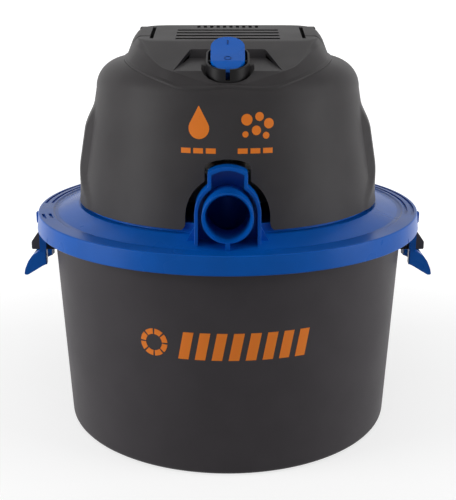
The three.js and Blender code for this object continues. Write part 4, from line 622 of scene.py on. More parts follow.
class VACUUM_OT_drum(bpy.types.Operator):
    """Builds the drum: a tapered tub with a rolled rim, a recessed foot and two latch lugs"""

    bl_idname = "vacuum.drum"
    bl_label = "Drum"

    def execute(self, context):
        sizes = wanted("drum")
        base, rim, wall = sizes.base_radius, sizes.rim_radius, sizes.wall
        top = DRUM_HIGH.z
        foot = sizes.foot
        draft = (rim - base) / top
        lip = 2.5 * MM
        outline = rounded(
            [(0, 1.2 * MM), (base - 12 * MM, 1.2 * MM), (base - 13 * MM, 0), (base - 0.2 * MM, 0),
             (base + draft * (top - lip), top - lip), (rim + sizes.flange, top - lip),
             (rim + sizes.flange, top), (rim - wall, top), (base - wall, 4 * MM), (0, 4 * MM)],
            [0, 0.6 * MM, 0.6 * MM, foot, 1 * MM, 0.9 * MM, 0.9 * MM, 0.8 * MM, foot, 0], 6)
        tub = revolved("drum_shell", outline)
        joined(tub, drum_lug(1), drum_lug(-1))
        finished(tub, Paints.get("drum"), "drum", ["drum"])
        return {"FINISHED"}


# ---------------------------------------------------------------- lid
RIM_TOP = 177.7 * MM
PORT_AXIS = 199.6 * MM
PORT_MOUTH = -140 * MM
PORT_ELBOW = -95 * MM
FRAME_LOW = 176.5 * MM
SEAM_ANGLE = 28.5  # of the skirt's two upright seams, in degrees forward of the latches


def lid_shell(sizes):
    """Skirt, rim, cone, deck and locating ring as one turned wall."""
    rim = sizes.rim_radius / MM
    land = rim - sizes.land / MM
    opening, neck = 22, 116.9  # radii of the fan's opening and of the ring that centres the housing, mm
    deck_top, deck_low = 186.5, 183.7
    outline = rounded(
        mm((opening, deck_top), (114.5, deck_top), (114.5, 190), (neck, 190), (neck, 182.9),
           (121.2, 182.9), (122.4, 182.9),
           (land - 4.2, 176.9), (land - 1.4, 176.9), (land, 177.7), (rim, 177.7),
           (rim + 1.5, 163.5), (rim - 1.1, 163.5), (rim - 2.6, 174.2), (139.5, 174.2), (139.5, 160.2),
           (137.3, 160.2), (137.3, 175.4), (121, 180), (116, 180.2), (112, deck_low), (opening, deck_low)),
        [r * MM for r in (1, 0.5, 0.8, 0.8, 0.6, 0, 0.5, 2.5, 0.6, 0.5, 1.1,
                          0.8, 0.8, 0.5, 0, 0.6, 0.6, 0.5, 2, 1, 1, 1)],
        4)
    return revolved("lid_shell", outline)


def arc_band(name, inner, outer, low, high, start, sweep, steps=64):
    """A curved bar between two radii, from an angle on through a sweep, in degrees."""
    turns = [math.radians(start + sweep * k / steps) for k in range(steps + 1)]
    outline = [(outer * math.cos(t), outer * math.sin(t)) for t in turns]
    outline += [(inner * math.cos(t), inner * math.sin(t)) for t in reversed(turns)]
    return prism(name, outline, low, high)


def drain_grooves(sizes):
    """Pairs of grooves in the rim's land: one long pair on the right, a long and a short pair on the left."""
    half = sizes.groove / 2
    cutters = []
    for middle in (151.5 * MM, 146.2 * MM):
        for start, sweep in ((-15.5, 72), (185.6 - 66, 60.4), (194.5, 5.8)):
            cutters.append(arc_band(
                "groove", middle - half, middle + half, RIM_TOP - 1.4 * MM, RIM_TOP + 2 * MM, start, sweep))
    return cutters


def keyhole(half, neck, low, middle, top, rise, radius):
    """Outline of the port's frame: straight sides, a round bulge, and a neck under an arched top."""
    shoulder = top - rise
    end = math.acos(neck / half)
    bulge = [(half * math.cos(end * k / 14), middle + half * math.sin(end * k / 14)) for k in range(15)]
    right = [(half, low), *bulge, (neck, shoulder)]
    radii = [0] * 15 + [0.6 * MM, radius]
    crown = [(neck * 0.5, top - rise * 0.27), (0, top), (-neck * 0.5, top - rise * 0.27)]
    left = on_side(reversed(right), -1)
    return rounded(right + crown + left, radii + [20 * MM] * 3 + radii[::-1], 7)


def port_frame():
    """The keyhole collar round the port: a wall 2.5 mm thick that leans back to its top."""
    outer = keyhole(23.3 * MM, 14 * MM, FRAME_LOW, PORT_AXIS, 232.3 * MM, 3.8 * MM, 3.2 * MM)
    collar = prism("collar", outer, -136 * MM, -110.5 * MM, "Y")
    lean = prism(
        "lean", mm((-145, 160), (-135.6, 160), (-122, 233.6), (-145, 250)), -40 * MM, 40 * MM, "X")
    cut(collar, lean)
    soften_edges(collar, 0.5 * MM, 3, 50)
    inner = keyhole(20.8 * MM, 11.5 * MM, FRAME_LOW, PORT_AXIS, 229.8 * MM, 3.4 * MM, 1.2 * MM)
    pocket = prism("pocket", [(x, max(z, 178.2 * MM)) for x, z in inner], -150 * MM, -113 * MM, "Y")
    return collar, pocket


def port_pipe(radius, mouth, low):
    """The pieces of a round way that runs back from its mouth and turns down at the elbow."""
    run = rod("run", radius, mouth, PORT_ELBOW, (0, PORT_AXIS), "Y", 96)
    drop = rod("drop", radius, low, PORT_AXIS, (0, PORT_ELBOW), "Z", 96)
    turns = [math.pi * k / 24 for k in range(25)]
    ball = revolved("ball", [(radius * math.sin(t), -radius * math.cos(t)) for t in turns], 96)
    ball.data.transform(Matrix.Translation((0, PORT_ELBOW, PORT_AXIS)))
    return run, drop, ball


def port_tube(sizes):
    """The hose port: a short tube that turns down through the deck."""
    run, drop, ball = port_pipe(sizes.port_radius, PORT_MOUTH, 177.5 * MM)
    soften_edges(run, 0.6 * MM, 4, 60)
    return joined(run, drop, ball)


def port_bore(sizes):
    """The clear way through the port, flared at its mouth."""
    run, drop, ball = port_pipe(sizes.port_radius - sizes.port_wall, PORT_MOUTH - 5 * MM, 170 * MM)
    flare = revolved("flare", mm((0, -3), (16.9, -3), (16.9, 0.4), (15.6, 2.6), (15.6, 6), (0, 6)), 96)
    forward = Matrix.Rotation(-math.pi / 2, 4, "X")
    flare.data.transform(Matrix.Translation((0, PORT_MOUTH, PORT_AXIS)) @ forward)
    return joined(run, drop, ball, flare)


def gusset(side):
    """A thin triangular web beside the collar's foot."""
    outline = mm((22.6, 177), (29.5, 177), (29.5, 179.5), (22.6, 191.5))
    return prism("gusset", on_side(outline, side), -126.4 * MM, -124.6 * MM, "Y")


def latch_ears(side):
    """Two ears that hold a latch pin under the rim."""
    ears = []
    for end in (-1, 1):
        near = end * 19 * MM
        far = end * 24 * MM
        corners = mm((146.5, 175.5), (155.2, 175.5), (155.2, 166.5), (149.5, 165.2), (146.5, 168))
        outline = rounded(on_side(corners, side), [0, 0, 2.2 * MM, 2.2 * MM, 1 * MM], 4)
        ears.append(prism("ear", outline, min(near, far), max(near, far), "Y"))
    return ears


class VACUUM_OT_lid(bpy.types.Operator):
    """Builds the lid: rim, skirt and cone with the hose port, its keyhole collar and the latch ears"""

    bl_idname = "vacuum.lid"
    bl_label = "Lid"

    def execute(self, context):
        sizes = wanted("lid")
        shell = lid_shell(sizes)
        window = 19 * MM
        for side in (1, -1):
            low, high = sorted((side * 150 * MM, side * 160 * MM))
            cut(shell, box_solid("latch_window", (low, -window, 160 * MM), (high, window, 172.6 * MM)))
            joined(shell, *latch_ears(side))
        seams = [arc_band("seam", 156 * MM, 158 * MM, 160 * MM, 175.4 * MM, middle - 0.15, 0.3, 2)
                 for middle in (-SEAM_ANGLE, 180 + SEAM_ANGLE)]
        cut(shell, *drain_grooves(sizes), *seams)
        collar, pocket = port_frame()
        rib = box_solid("rib", (-1.6 * MM, -141 * MM, 176 * MM), (1.6 * MM, -118 * MM, 184 * MM), 0.4 * MM, 2)
        joined(shell, collar)
        cut(shell, pocket)
        joined(shell, port_tube(sizes), rib, gusset(1), gusset(-1))
        cut(shell, port_bore(sizes))
        shell.name = "lid_moulding"
        finished(shell, Paints.get("blue"), "head", ["lid"])
        return {"FINISHED"}


# ---------------------------------------------------------------- latches
class VACUUM_OT_latches(bpy.types.Operator):
    """Builds both latches: a curved strap with a pin barrel on top and a flared finger tab below"""

    bl_idname = "vacuum.latches"
    bl_label = "Latches"

    def execute(self, context):
        for name, side in (("right", 1), ("left", -1)):
            latch = self.strap(side)
            latch.name = "latch_strap_" + name
            finished(latch, Paints.get("blue"), "latch_" + name, ["latch_" + name])
        return {"FINISHED"}

    def strap(self, side):
        """The right latch, turned half round for the left."""
        outer = 156.3 * MM
        inner = 151.0 * MM
        half = 18 * MM
        barrel_place = (152.8 * MM, 169 * MM)
        spread = math.degrees(math.asin(half / outer))
        strap = arc_band("strap", inner, outer, 129.4 * MM, 169 * MM, -spread, 2 * spread, 24)
        barrel = rod("barrel", 3.4 * MM, -half, half, barrel_place, "Y", 40)
        tab_outline = rounded(
            mm((150.8, 129.6), (153.8, 128.2), (166.2, 120.6), (169.5, 120.5), (168.4, 125.8), (165.6, 132.2),
               (162, 137.2), (158, 139.8), (154.5, 140.6), (151, 140.6)),
            [0.8 * MM, 3 * MM, 2 * MM, 1.2 * MM, 3 * MM, 6 * MM, 6 * MM, 4 * MM, 1 * MM, 0], 5)
        tab = prism("tab", tab_outline, -half, half, "Y")
        hollow_outline = rounded(
            mm((157, 118), (171, 112), (166.4, 119.8), (163, 129.6), (159.6, 134), (157, 135.4)), 1.2 * MM, 3)
        cut(tab, prism("hollow", hollow_outline, -half + 2.4 * MM, half - 2.4 * MM, "Y"))
        joined(strap, tab, barrel)
        soften_edges(strap, 0.7 * MM, 3, 40)
        window = 9.3 * MM
        channel = box_solid(
            "channel", (140 * MM, -window, 110 * MM), (164.2 * MM, window, 160 * MM))
        pin = rod("pin", 1.9 * MM, -2 * half, 2 * half, barrel_place, "Y", 24)
        cut(strap, channel, pin)
        if side < 0:
            strap.data.transform(Matrix.Rotation(math.pi, 4, "Z"))
        return strap


# ---------------------------------------------------------------- motor housing
HOUSING_LOW_Z = 185.5 * MM
CROWN_Z = 299 * MM
HOUSING_DRAFT = 0.1776
POD_TOP = 262 * MM
SHOULDER_FULLNESS = 0.8  # 1 is a plain ellipse, less is squarer


def smooth(value, low, high):
    share = min(1.0, max(0.0, (value - low) / (high - low)))
    return share * share * (3 - 2 * share)


def barrel_radius(z):
    return wanted("head").base_radius - HOUSING_DRAFT * (z - HOUSING_LOW_Z)


def pod_bulge(turn, z):
    """How far a side pod stands out at an angle round from +X and a height."""
    aside = math.degrees(math.asin(math.sin(turn)))
    height = z - HOUSING_LOW_Z
    # the pod's front crease swings forward near the foot
    front = -(14.5 + 12 * (1 - smooth(height, 2 * MM, 26 * MM)))
    low = 0.18 + 0.82 * smooth(height, 0, 32 * MM)
    high = smooth(POD_TOP - z, -1.5 * MM, 19 * MM) ** 0.75
    edges = smooth(aside, front - 3, front + 1) * smooth(-aside, -56, -44)
    return wanted("head").pod_bulge * low * high * edges


def shoulder_rows(inset):
    """(radius, height) points over the shoulder, from the barrel's top to the flat crown."""
    sizes = wanted("head")
    foot = CROWN_Z - sizes.shoulder
    start = barrel_radius(foot)
    rows = []
    for k in range(1, 17):
        angle = math.pi / 2 * k / 16
        radius = sizes.crown_radius + (start - sizes.crown_radius) * math.cos(angle) ** SHOULDER_FULLNESS
        height = foot + sizes.shoulder * math.sin(angle)
        rows.append((radius - inset * math.cos(angle), height - inset * math.sin(angle)))
    return rows


def housing_body(name, inset, low):
    """The dome as a solid, shrunk by inset, its side pods included."""
    foot = CROWN_Z - wanted("head").shoulder
    steps = 26
    levels = [low + (foot - low) * k / steps for k in range(steps + 1)]
    profile = [(barrel_radius(z) - inset, z) for z in levels] + shoulder_rows(inset)
    turns = [2 * math.pi * k / 360 for k in range(360)]
    rows = [[(0, 0, low)]]
    for radius, z in profile:
        reaches = [radius + pod_bulge(t, z) for t in turns]
        rows.append([(reach * math.cos(t), reach * math.sin(t), z) for reach, t in zip(reaches, turns)])
    rows.append([(0, 0, CROWN_Z - inset)])
    return as_object(ring_mesh(rows, closed_rows=False), name)


def front_room():
    """The part of the dome that gives way to the cover's low front slope."""
    feet = [station_points(s)[0] for s in COVER_STATIONS]
    ring = threaded(feet + [Vector((-p.x, p.y, p.z)) for p in reversed(feet[1:-1])], 6)
    return kept(prism("room", offset([(p.x, p.y) for p in ring], -0.25 * MM), 262 * MM, 340 * MM),
                box_solid("front", (-100 * MM, -120 * MM, 250 * MM), (100 * MM, -30 * MM, 350 * MM)))


class VACUUM_OT_housing(bpy.types.Operator):
    """Builds the motor housing: a domed shell with two side pods and a keyhole cut-out at the front"""

    bl_idname = "vacuum.housing"
    bl_label = "Motor housing"

    def execute(self, context):
        wall = wanted("head").wall
        shell = housing_body("housing_shell", 0, HOUSING_LOW_Z)
        inside = housing_body("inside", wall, HOUSING_LOW_Z - 3 * MM)
        outline = keyhole(30.2 * MM, 16.3 * MM, 170 * MM, 194.6 * MM, 235.6 * MM, 3.6 * MM, 5 * MM)
        keyway = prism("keyway", outline, -160 * MM, -60 * MM, "Y")
        flare = mm((29, 180), (34, 184), (32.6, 185.8), (31, 187.3), (30.1, 189.6))
        feet = [prism("foot", on_side(flare, side), -160 * MM, -60 * MM, "Y") for side in (1, -1)]
        crown = prism("crown", cover_outline(7.7 * MM, 64), 270 * MM, 320 * MM)
        grille = box_solid(
            "grille_hole", (-30.2 * MM, 60 * MM, 202.4 * MM), (30.2 * MM, 140 * MM, 248.6 * MM), 3 * MM)
        gland = rod("gland_hole", 6.9 * MM, 0, 30 * MM, (0, 0), "Z", 32)
        gland.data.transform(gland_place() @ Matrix.Rotation(math.pi / 2, 4, "Y"))
        cut(shell, inside, keyway, *feet, crown, grille, gland, front_room())
        finished(shell, Paints.get("head"), "head", ["motor_housing"])
        return {"FINISHED"}


def gland_place():
    """Frame of the cord gland: its X axis points out through the housing wall."""
    low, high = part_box("cord_gland")
    middle = (low + high) / 2
    turn = math.atan2(middle.y, middle.x)
    start = Vector((100 * MM * math.cos(turn), 100 * MM * math.sin(turn), middle.z))
    return Matrix.Translation(start) @ Matrix.Rotation(turn, 4, "Z")


# ---------------------------------------------------------------- cover
OVAL_POWER = 2.6  # 2 is an ellipse, more is squarer


def dome_height(radius):
    """Height of the housing's outside over a point at a radius."""
    sizes = wanted("head")
    foot = CROWN_Z - sizes.shoulder
    start = barrel_radius(foot)
    if radius <= sizes.crown_radius:
        return CROWN_Z
    if radius >= start:
        return foot - (radius - start) / HOUSING_DRAFT
    share = (radius - sizes.crown_radius) / (start - sizes.crown_radius)
    return foot + sizes.shoulder * math.sin(math.acos(share ** (1 / SHOULDER_FULLNESS)))


def cover_outline(inset, count):
    """The cover's rounded base seen from above: a squarish oval, longer to the front."""
    points = []
    for k in range(count):
        turn = 2 * math.pi * k / count
        c, s = math.cos(turn), math.sin(turn)
        reach = 101.5 * MM if s < 0 else 74 * MM
        points.append((
            math.copysign(abs(c) ** (2 / OVAL_POWER), c) * (81 * MM - inset),
            math.copysign(abs(s) ** (2 / OVAL_POWER), s) * (reach - inset)))
    return points


SLOPE_FOOT = (-87.3, 294.3)  # brow crease: reach and height, mm
SLOPE_CLIMB = 0.3147
TOP_FRONT = (-32, 311.7)  # front edge of the top plane
TOP_CLIMB = 0.15

# The right half from the front round to the rear, mm:
# base (x, y), flank crease (x, y, z), brow (x, y), top edge (x, y)
COVER_STATIONS = [
    ((0, -102.7), (0, -101.2, 286.0), (0, -87.3), (0, -32)),
    ((13, -102.3), (13, -99.6, 286.9), (14, -87.3), (16, -32)),
    ((24, -100.5), (23.6, -95.4, 289.5), (26, -87.3), (32, -32)),
    ((35, -97), (33.4, -91.2, 292.2), (36, -87.0), (44, -32)),
    ((45, -91.2), (42.4, -86.6, 295.0), (43.8, -83.6), (52, -31.8)),
    ((54.5, -83.6), (48.6, -79.8, 297.2), (49.9, -75.6), (57, -31)),
    ((63, -74), (55, -68.5, 300.9), (55.2, -62), (61, -29.3)),
    ((70.5, -62), (61.5, -55, 304.9), (60, -48), (64, -26)),
    ((76, -47.5), (67.8, -40, 307.6), (66.4, -34), (67.4, -20.5)),
    ((79.6, -29), (72.4, -22, 309.4), (70.9, -19), (69.4, -12.5)),
    ((81, -10), (75.0, -6, 310.4), (73.4, -5), (70.8, -3)),
    ((81, 10), (75.6, 9, 311.0), (74.0, 9), (71.0, 8)),
    ((79.6, 30), (74.6, 23, 311.4), (73.0, 20), (69.6, 18)),
    ((74.5, 49), (69.5, 35, 311.8), (67.5, 30), (64.5, 25.5)),
    ((62, 63), (58, 42, 312.2), (56.5, 36), (55, 29.3)),
    ((40, 71.5), (38, 45, 312.4), (37, 38.5), (36, 30)),
    ((0, 74), (0, 46, 312.4), (0, 39), (0, 30)),
]


def top_height(y):
    return (TOP_FRONT[1] + (y / MM - TOP_FRONT[0]) * TOP_CLIMB) * MM


def slope_height(y):
    return (SLOPE_FOOT[1] + (y / MM - SLOPE_FOOT[0]) * SLOPE_CLIMB) * MM


def station_points(station):
    """The points of one station from its sunken foot up to the top edge, in metres."""
    base, flank, brow, top = [tuple(v * MM for v in point) for point in station]
    seat = dome_height(math.hypot(*base))
    edge = Vector((*base, seat + 1.3 * MM))
    inward = Vector((-base[0], -base[1] - 10 * MM, 0)).normalized()
    if brow[1] < -30 * MM:
        brow_height = min(slope_height(brow[1]), top_height(top[1]))
    else:
        brow_height = flank[2] + 0.45 * (top_height(top[1]) - flank[2])
    return [
        Vector((*base, seat - 9 * MM)), edge, edge + inward * 2.4 * MM + Vector((0, 0, 1.1 * MM)),
        Vector(flank), Vector((*brow, brow_height)), Vector((*top, top_height(top[1])))]


def threaded(knots, fine):
    """A closed smooth run of points through the knots, with fine points to each span."""
    count = len(knots)
    run = []
    for i in range(count):
        a, b, c, d = (knots[(i + k) % count] for k in (-1, 0, 1, 2))
        for k in range(fine):
            t = k / fine
            run.append(0.5 * (2 * b + (c - a) * t + (2 * a - 5 * b + 4 * c - d) * t * t
                              + (3 * b - a - 3 * c + d) * t * t * t))
    return run


def cover_form(name, inset=0.0):
    """The cover's outside with the folded handle filled in, as one solid."""
    right = [station_points(s) for s in COVER_STATIONS]
    left = [[Vector((-p.x, p.y, p.z)) for p in points] for points in reversed(right[1:-1])]
    stations = right + left
    if inset:
        stations = [shrunk(points, inset) for points in stations]
    rings = [threaded([s[level] for s in stations], 6) for level in range(6)]
    bm = stacked([[tuple(p) for p in ring] for ring in rings])
    if not inset:
        soften_rings(bm, len(rings[0]))
    return as_object(bm, name)


def shrunk(points, inset):
    """One station's points moved in and down by a wall."""
    moved = []
    for p in points:
        flat = Vector((p.x, p.y + 10 * MM, 0))
        back = flat.normalized() * min(inset, flat.length)
        moved.append(Vector((p.x - back.x, p.y - back.y, p.z - inset)))
    return moved


def soften_rings(bm, count):
    """Rounds the cover's rings of edges, each by its own radius."""
    bm.verts.ensure_lookup_table()
    place = {v: v.index for v in bm.verts}
    for level, width in ((5, 2.2 * MM), (4, 0.9 * MM), (3, 1.1 * MM), (2, 0.7 * MM), (1, 0.45 * MM)):
        edges = [
            e for e in bm.edges
            if all(v in place and place[v] // count == level for v in e.verts)]
        if level == 4:
            edges = [e for e in edges if all(v.co.y < -86.5 * MM for v in e.verts)]
        bmesh.ops.bevel(
            bm, geom=edges, offset=width, segments=4, profile=0.5, affect="EDGES", clamp_overlap=True)


# ---------------------------------------------------------------- Geometry Nodes
def bar_row_tree():
    """A row of bars along a step: named inputs set their number, start, step, size and tilt."""
    tree = bpy.data.node_groups.new("Bar row", "GeometryNodeTree")
    face = tree.interface
    for name, kind, default in (
            ("Count", "NodeSocketInt", 4), ("Start", "NodeSocketVector", (0, 0, 0)),
            ("Step", "NodeSocketVector", (0, 0.01, 0)), ("Size", "NodeSocketVector", (0.05, 0.004, 0.01)),
            ("Tilt", "NodeSocketVector", (0, 0, 0))):
        face.new_socket(name, in_out="INPUT", socket_type=kind).default_value = default
    face.new_socket("Geometry", in_out="OUTPUT", socket_type="NodeSocketGeometry")
    given = tree.nodes.new("NodeGroupInput")
    out = tree.nodes.new("NodeGroupOutput")
    line = tree.nodes.new("GeometryNodeMeshLine")
    bar = tree.nodes.new("GeometryNodeMeshCube")
    copies = tree.nodes.new("GeometryNodeInstanceOnPoints")
    real = tree.nodes.new("GeometryNodeRealizeInstances")
    for giver, output, taker, entry in (
            (given, "Count", line, "Count"), (given, "Start", line, "Start Location"),
            (given, "Step", line, "Offset"), (given, "Size", bar, "Size"),
            (line, "Mesh", copies, "Points"), (bar, "Mesh", copies, "Instance"),
            (given, "Tilt", copies, "Rotation"), (copies, "Instances", real, "Geometry"),
            (real, "Geometry", out, "Geometry")):
        tree.links.new(giver.outputs[output], taker.inputs[entry])
    return tree


def bar_row(name, count, start, step, size, tilt=(0, 0, 0)):
    """The row as a plain mesh."""
    tree = bpy.data.node_groups.get("Bar row") or bar_row_tree()
    made = placed(name, bpy.data.meshes.new(name))
    row = made.modifiers.new("row", "NODES")
    row.node_group = tree
    sockets = {s.name: s.identifier for s in tree.interface.items_tree if s.in_out == "INPUT"}
    given = {"Count": count, "Start": start, "Step": step, "Size": size, "Tilt": tilt}
    for key, value in given.items():
        row[sockets[key]] = value
    return bake(made)


# ---------------------------------------------------------------- the cover's openings
LEDGE_Z = 302.5 * MM
HANDLE_PIVOT = (-9.5 * MM, 309 * MM)  # (y, z)
ARM_POCKET = 7.8 * MM  # room round the pivot for the arms' square shoulders as they swing
SLOT_INNER, SLOT_OUTER = 57.5 * MM, 60.3 * MM  # the slots ahead of the arms
ARM_INNER = 60.5 * MM
BAR_FRONT, BAR_BACK = 43 * MM, 57 * MM
GRIP_FRONT = 30 * MM
SWITCH_Y = -75 * MM
BEZEL_WIDTH, BEZEL_LENGTH = 31.4 * MM, 46 * MM
BEZEL_TOP = 302.8 * MM
BEZEL_SLOPE = math.radians(17)
LOUVER_LEAN = math.radians(60)  # each louver runs down and back into the cover


def handle_space(grow):
    """The notches at both sides for the arms and the recess behind for the bar."""
    high = 340 * MM
    low = LEDGE_Z - grow
    front = HANDLE_PIVOT[0]
    wide = 100 * MM
    sides = []
    for a, b in ((SLOT_INNER - grow, wide), (-wide, grow - SLOT_INNER)):
        sides.append(box_solid("space", (a, front, low), (b, 100 * MM, high)))
        sides.append(rod("space", ARM_POCKET + grow, a, b, HANDLE_PIVOT, "X", 48))
    for a, b in ((SLOT_INNER, SLOT_OUTER), (-SLOT_OUTER, -SLOT_INNER)):
        sides.append(box_solid("slot", (a - grow, -23 * MM - grow, low), (b + grow, 0, high)))
    sides.append(box_solid("space", (-70 * MM, GRIP_FRONT - grow, low), (70 * MM, 100 * MM, high)))
    return sides


def switch_dish(grow):
    """The shallow floor round the switch: a wedge under a plane, in a plan that widens to the front."""
    side = mm((-92, 294.3), (-87.2, 294.3), (-50.8, 300.4), (-47.5, 308), (-47.5, 345), (-92, 345))
    wedge = prism("dish", side, -60 * MM, 60 * MM, "X")
    plan = rounded(mm((-39.8, -92), (39.8, -92), (38.6, -86.5), (27.6, -47), (-27.6, -47), (-38.6, -86.5)),
                   [0, 0, 0, 5 * MM, 5 * MM, 0], 6)
    kept(wedge, prism("plan", plan, 270 * MM, 350 * MM))
    if grow:
        wedge.data.transform(Matrix.Translation((0, 0, -grow)))
    return wedge


def switch_moat(grow):
    """The hollow round the switch's ring, deepest at its front: sloping sides between two ovals."""
    def floor(y):
        reach = y / MM
        return (291.9 + (reach + 84) * (0.36 if reach < -84 else 0.25)) * MM - grow

    def ground(y):
        reach = y / MM
        return (294.3 + (reach + 87.3) * (0.597 if reach < -87.3 else 0.167)) * MM

    inner = stadium(BEZEL_WIDTH + 1 * MM, BEZEL_LENGTH + 1 * MM, SWITCH_Y, 28)
    outer = stadium(BEZEL_WIDTH + 7 * MM, BEZEL_LENGTH + 6 * MM, SWITCH_Y, 28)
    rows = [[(x, y, floor(y)) for x, y in inner],
            [(x, y, ground(y) + 0.1 * MM) for x, y in outer],
            [(x, y, 340 * MM) for x, y in outer]]
    return as_object(stacked(rows), "moat")


class VACUUM_OT_cover(bpy.types.Operator):
    """Builds the top cover: a faceted hood with a switch recess, louvers and the handle's notches"""

    bl_idname = "vacuum.cover"
    bl_label = "Top cover"

    def execute(self, context):
        wall = wanted("head").wall
        cover = cover_form("cover_moulding")
        inside = cover_form("inside", wall)
        cut(cover, *handle_space(0), switch_dish(0), switch_moat(0))
        soften_edges(cover, 0.35 * MM, 2, 34)
        cut(inside, *handle_space(wall), switch_dish(wall), switch_moat(1.4 * MM))
        under = housing_body("under", -0.3 * MM, HOUSING_LOW_Z)
        cut(under, prism("crown", cover_outline(8 * MM, 64), 270 * MM, 330 * MM), front_room())
        bezel = prism("bezel_hole", stadium(BEZEL_WIDTH + 0.7 * MM, BEZEL_LENGTH + 0.7 * MM, SWITCH_Y, 24),
                      260 * MM, 340 * MM)
        louvers = bar_row(
            "louvers", 4, (0, -23.5 * MM, top_height(-23.5 * MM)), (0, 10.5 * MM, 10.5 * MM * TOP_CLIMB),
            (80.5 * MM, 2.7 * MM, 14 * MM), (LOUVER_LEAN, 0, 0))
        vents = bar_row(
            "vents", 10, (-23.4 * MM, 21.8 * MM, top_height(21.8 * MM) - 1.5 * MM), (5.2 * MM, 0, 0),
            (2.7 * MM, 8.4 * MM, 9 * MM))
        webs = [box_solid("web", (a * MM, 19 * MM, 302.2 * MM), (b * MM, 32 * MM, 325 * MM))
                for a, b in ((56.5, 60.2), (-60.2, -56.5))]
        for web in webs:
            kept(web, cover_form("form"))
        pins = [rod("pin_hole", 2.3 * MM, a * MM, b * MM, HANDLE_PIVOT, "X", 24)
                for a, b in ((50, 90), (-90, -50))]
        cut(cover, inside, under, bezel, louvers, vents, *pins)
        joined(cover, *webs)
        finished(cover, Paints.get("head"), "head", ["top_cover"])
        return {"FINISHED"}


class VACUUM_OT_handle(bpy.types.Operator):
    """Builds the folded carry handle: two arms flush with the cover and a bar behind"""

    bl_idname = "vacuum.handle"
    bl_label = "Carry handle"

    def execute(self, context):
        low = HANDLE_LOW.z
        handle = cover_form("handle_moulding")
        zone = box_solid("zone", (-95 * MM, HANDLE_PIVOT[0], low), (95 * MM, 44 * MM, 330 * MM))
        ends = rod("ends", 6.2 * MM, -95 * MM, 95 * MM, HANDLE_PIVOT, "X", 48)
        kept(handle, joined(zone, ends))
        between = box_solid(
            "between", (-ARM_INNER, -40 * MM, low - 5 * MM), (ARM_INNER, 60 * MM, 340 * MM))
        cut(handle, between)
        outline = rounded(
            mm((22, 302.8), (57, 302.8), (57, 312), (46, 317.2), (30, 319.6), (22, 319)),
            [0, 2 * MM, 3.5 * MM, 6 * MM, 6 * MM, 0], 5)
        rears = []
        for a, b in ((ARM_INNER, 71.5 * MM), (-71.5 * MM, -ARM_INNER)):
            rears.append(prism("rear", outline, a, b, "X", 0.8 * MM, 3))
        bar_low, bar_high = 302.8 * MM, 313.8 * MM
        bar_outline = rounded(
            [(BAR_FRONT, bar_low), (BAR_BACK, bar_low), (BAR_BACK, bar_high), (BAR_FRONT, bar_high)],
            3.2 * MM, 6)
        bar = prism("bar", bar_outline, -66 * MM, 66 * MM, "X")
        joined(handle, *rears, bar)
        soften_edges(handle, 0.5 * MM, 3, 40)
        cut(handle, rod("pin_hole", 2.2 * MM, -73 * MM, 73 * MM, HANDLE_PIVOT, "X", 24))
        finished(handle, Paints.get("head"), "handle", ["carry_handle"])
        return {"FINISHED"}


# ---------------------------------------------------------------- switch
ROCKER_PIVOT = (-74.7 * MM, 299.5 * MM)  # (y, z)
ROCKER_TILT = math.radians(29)


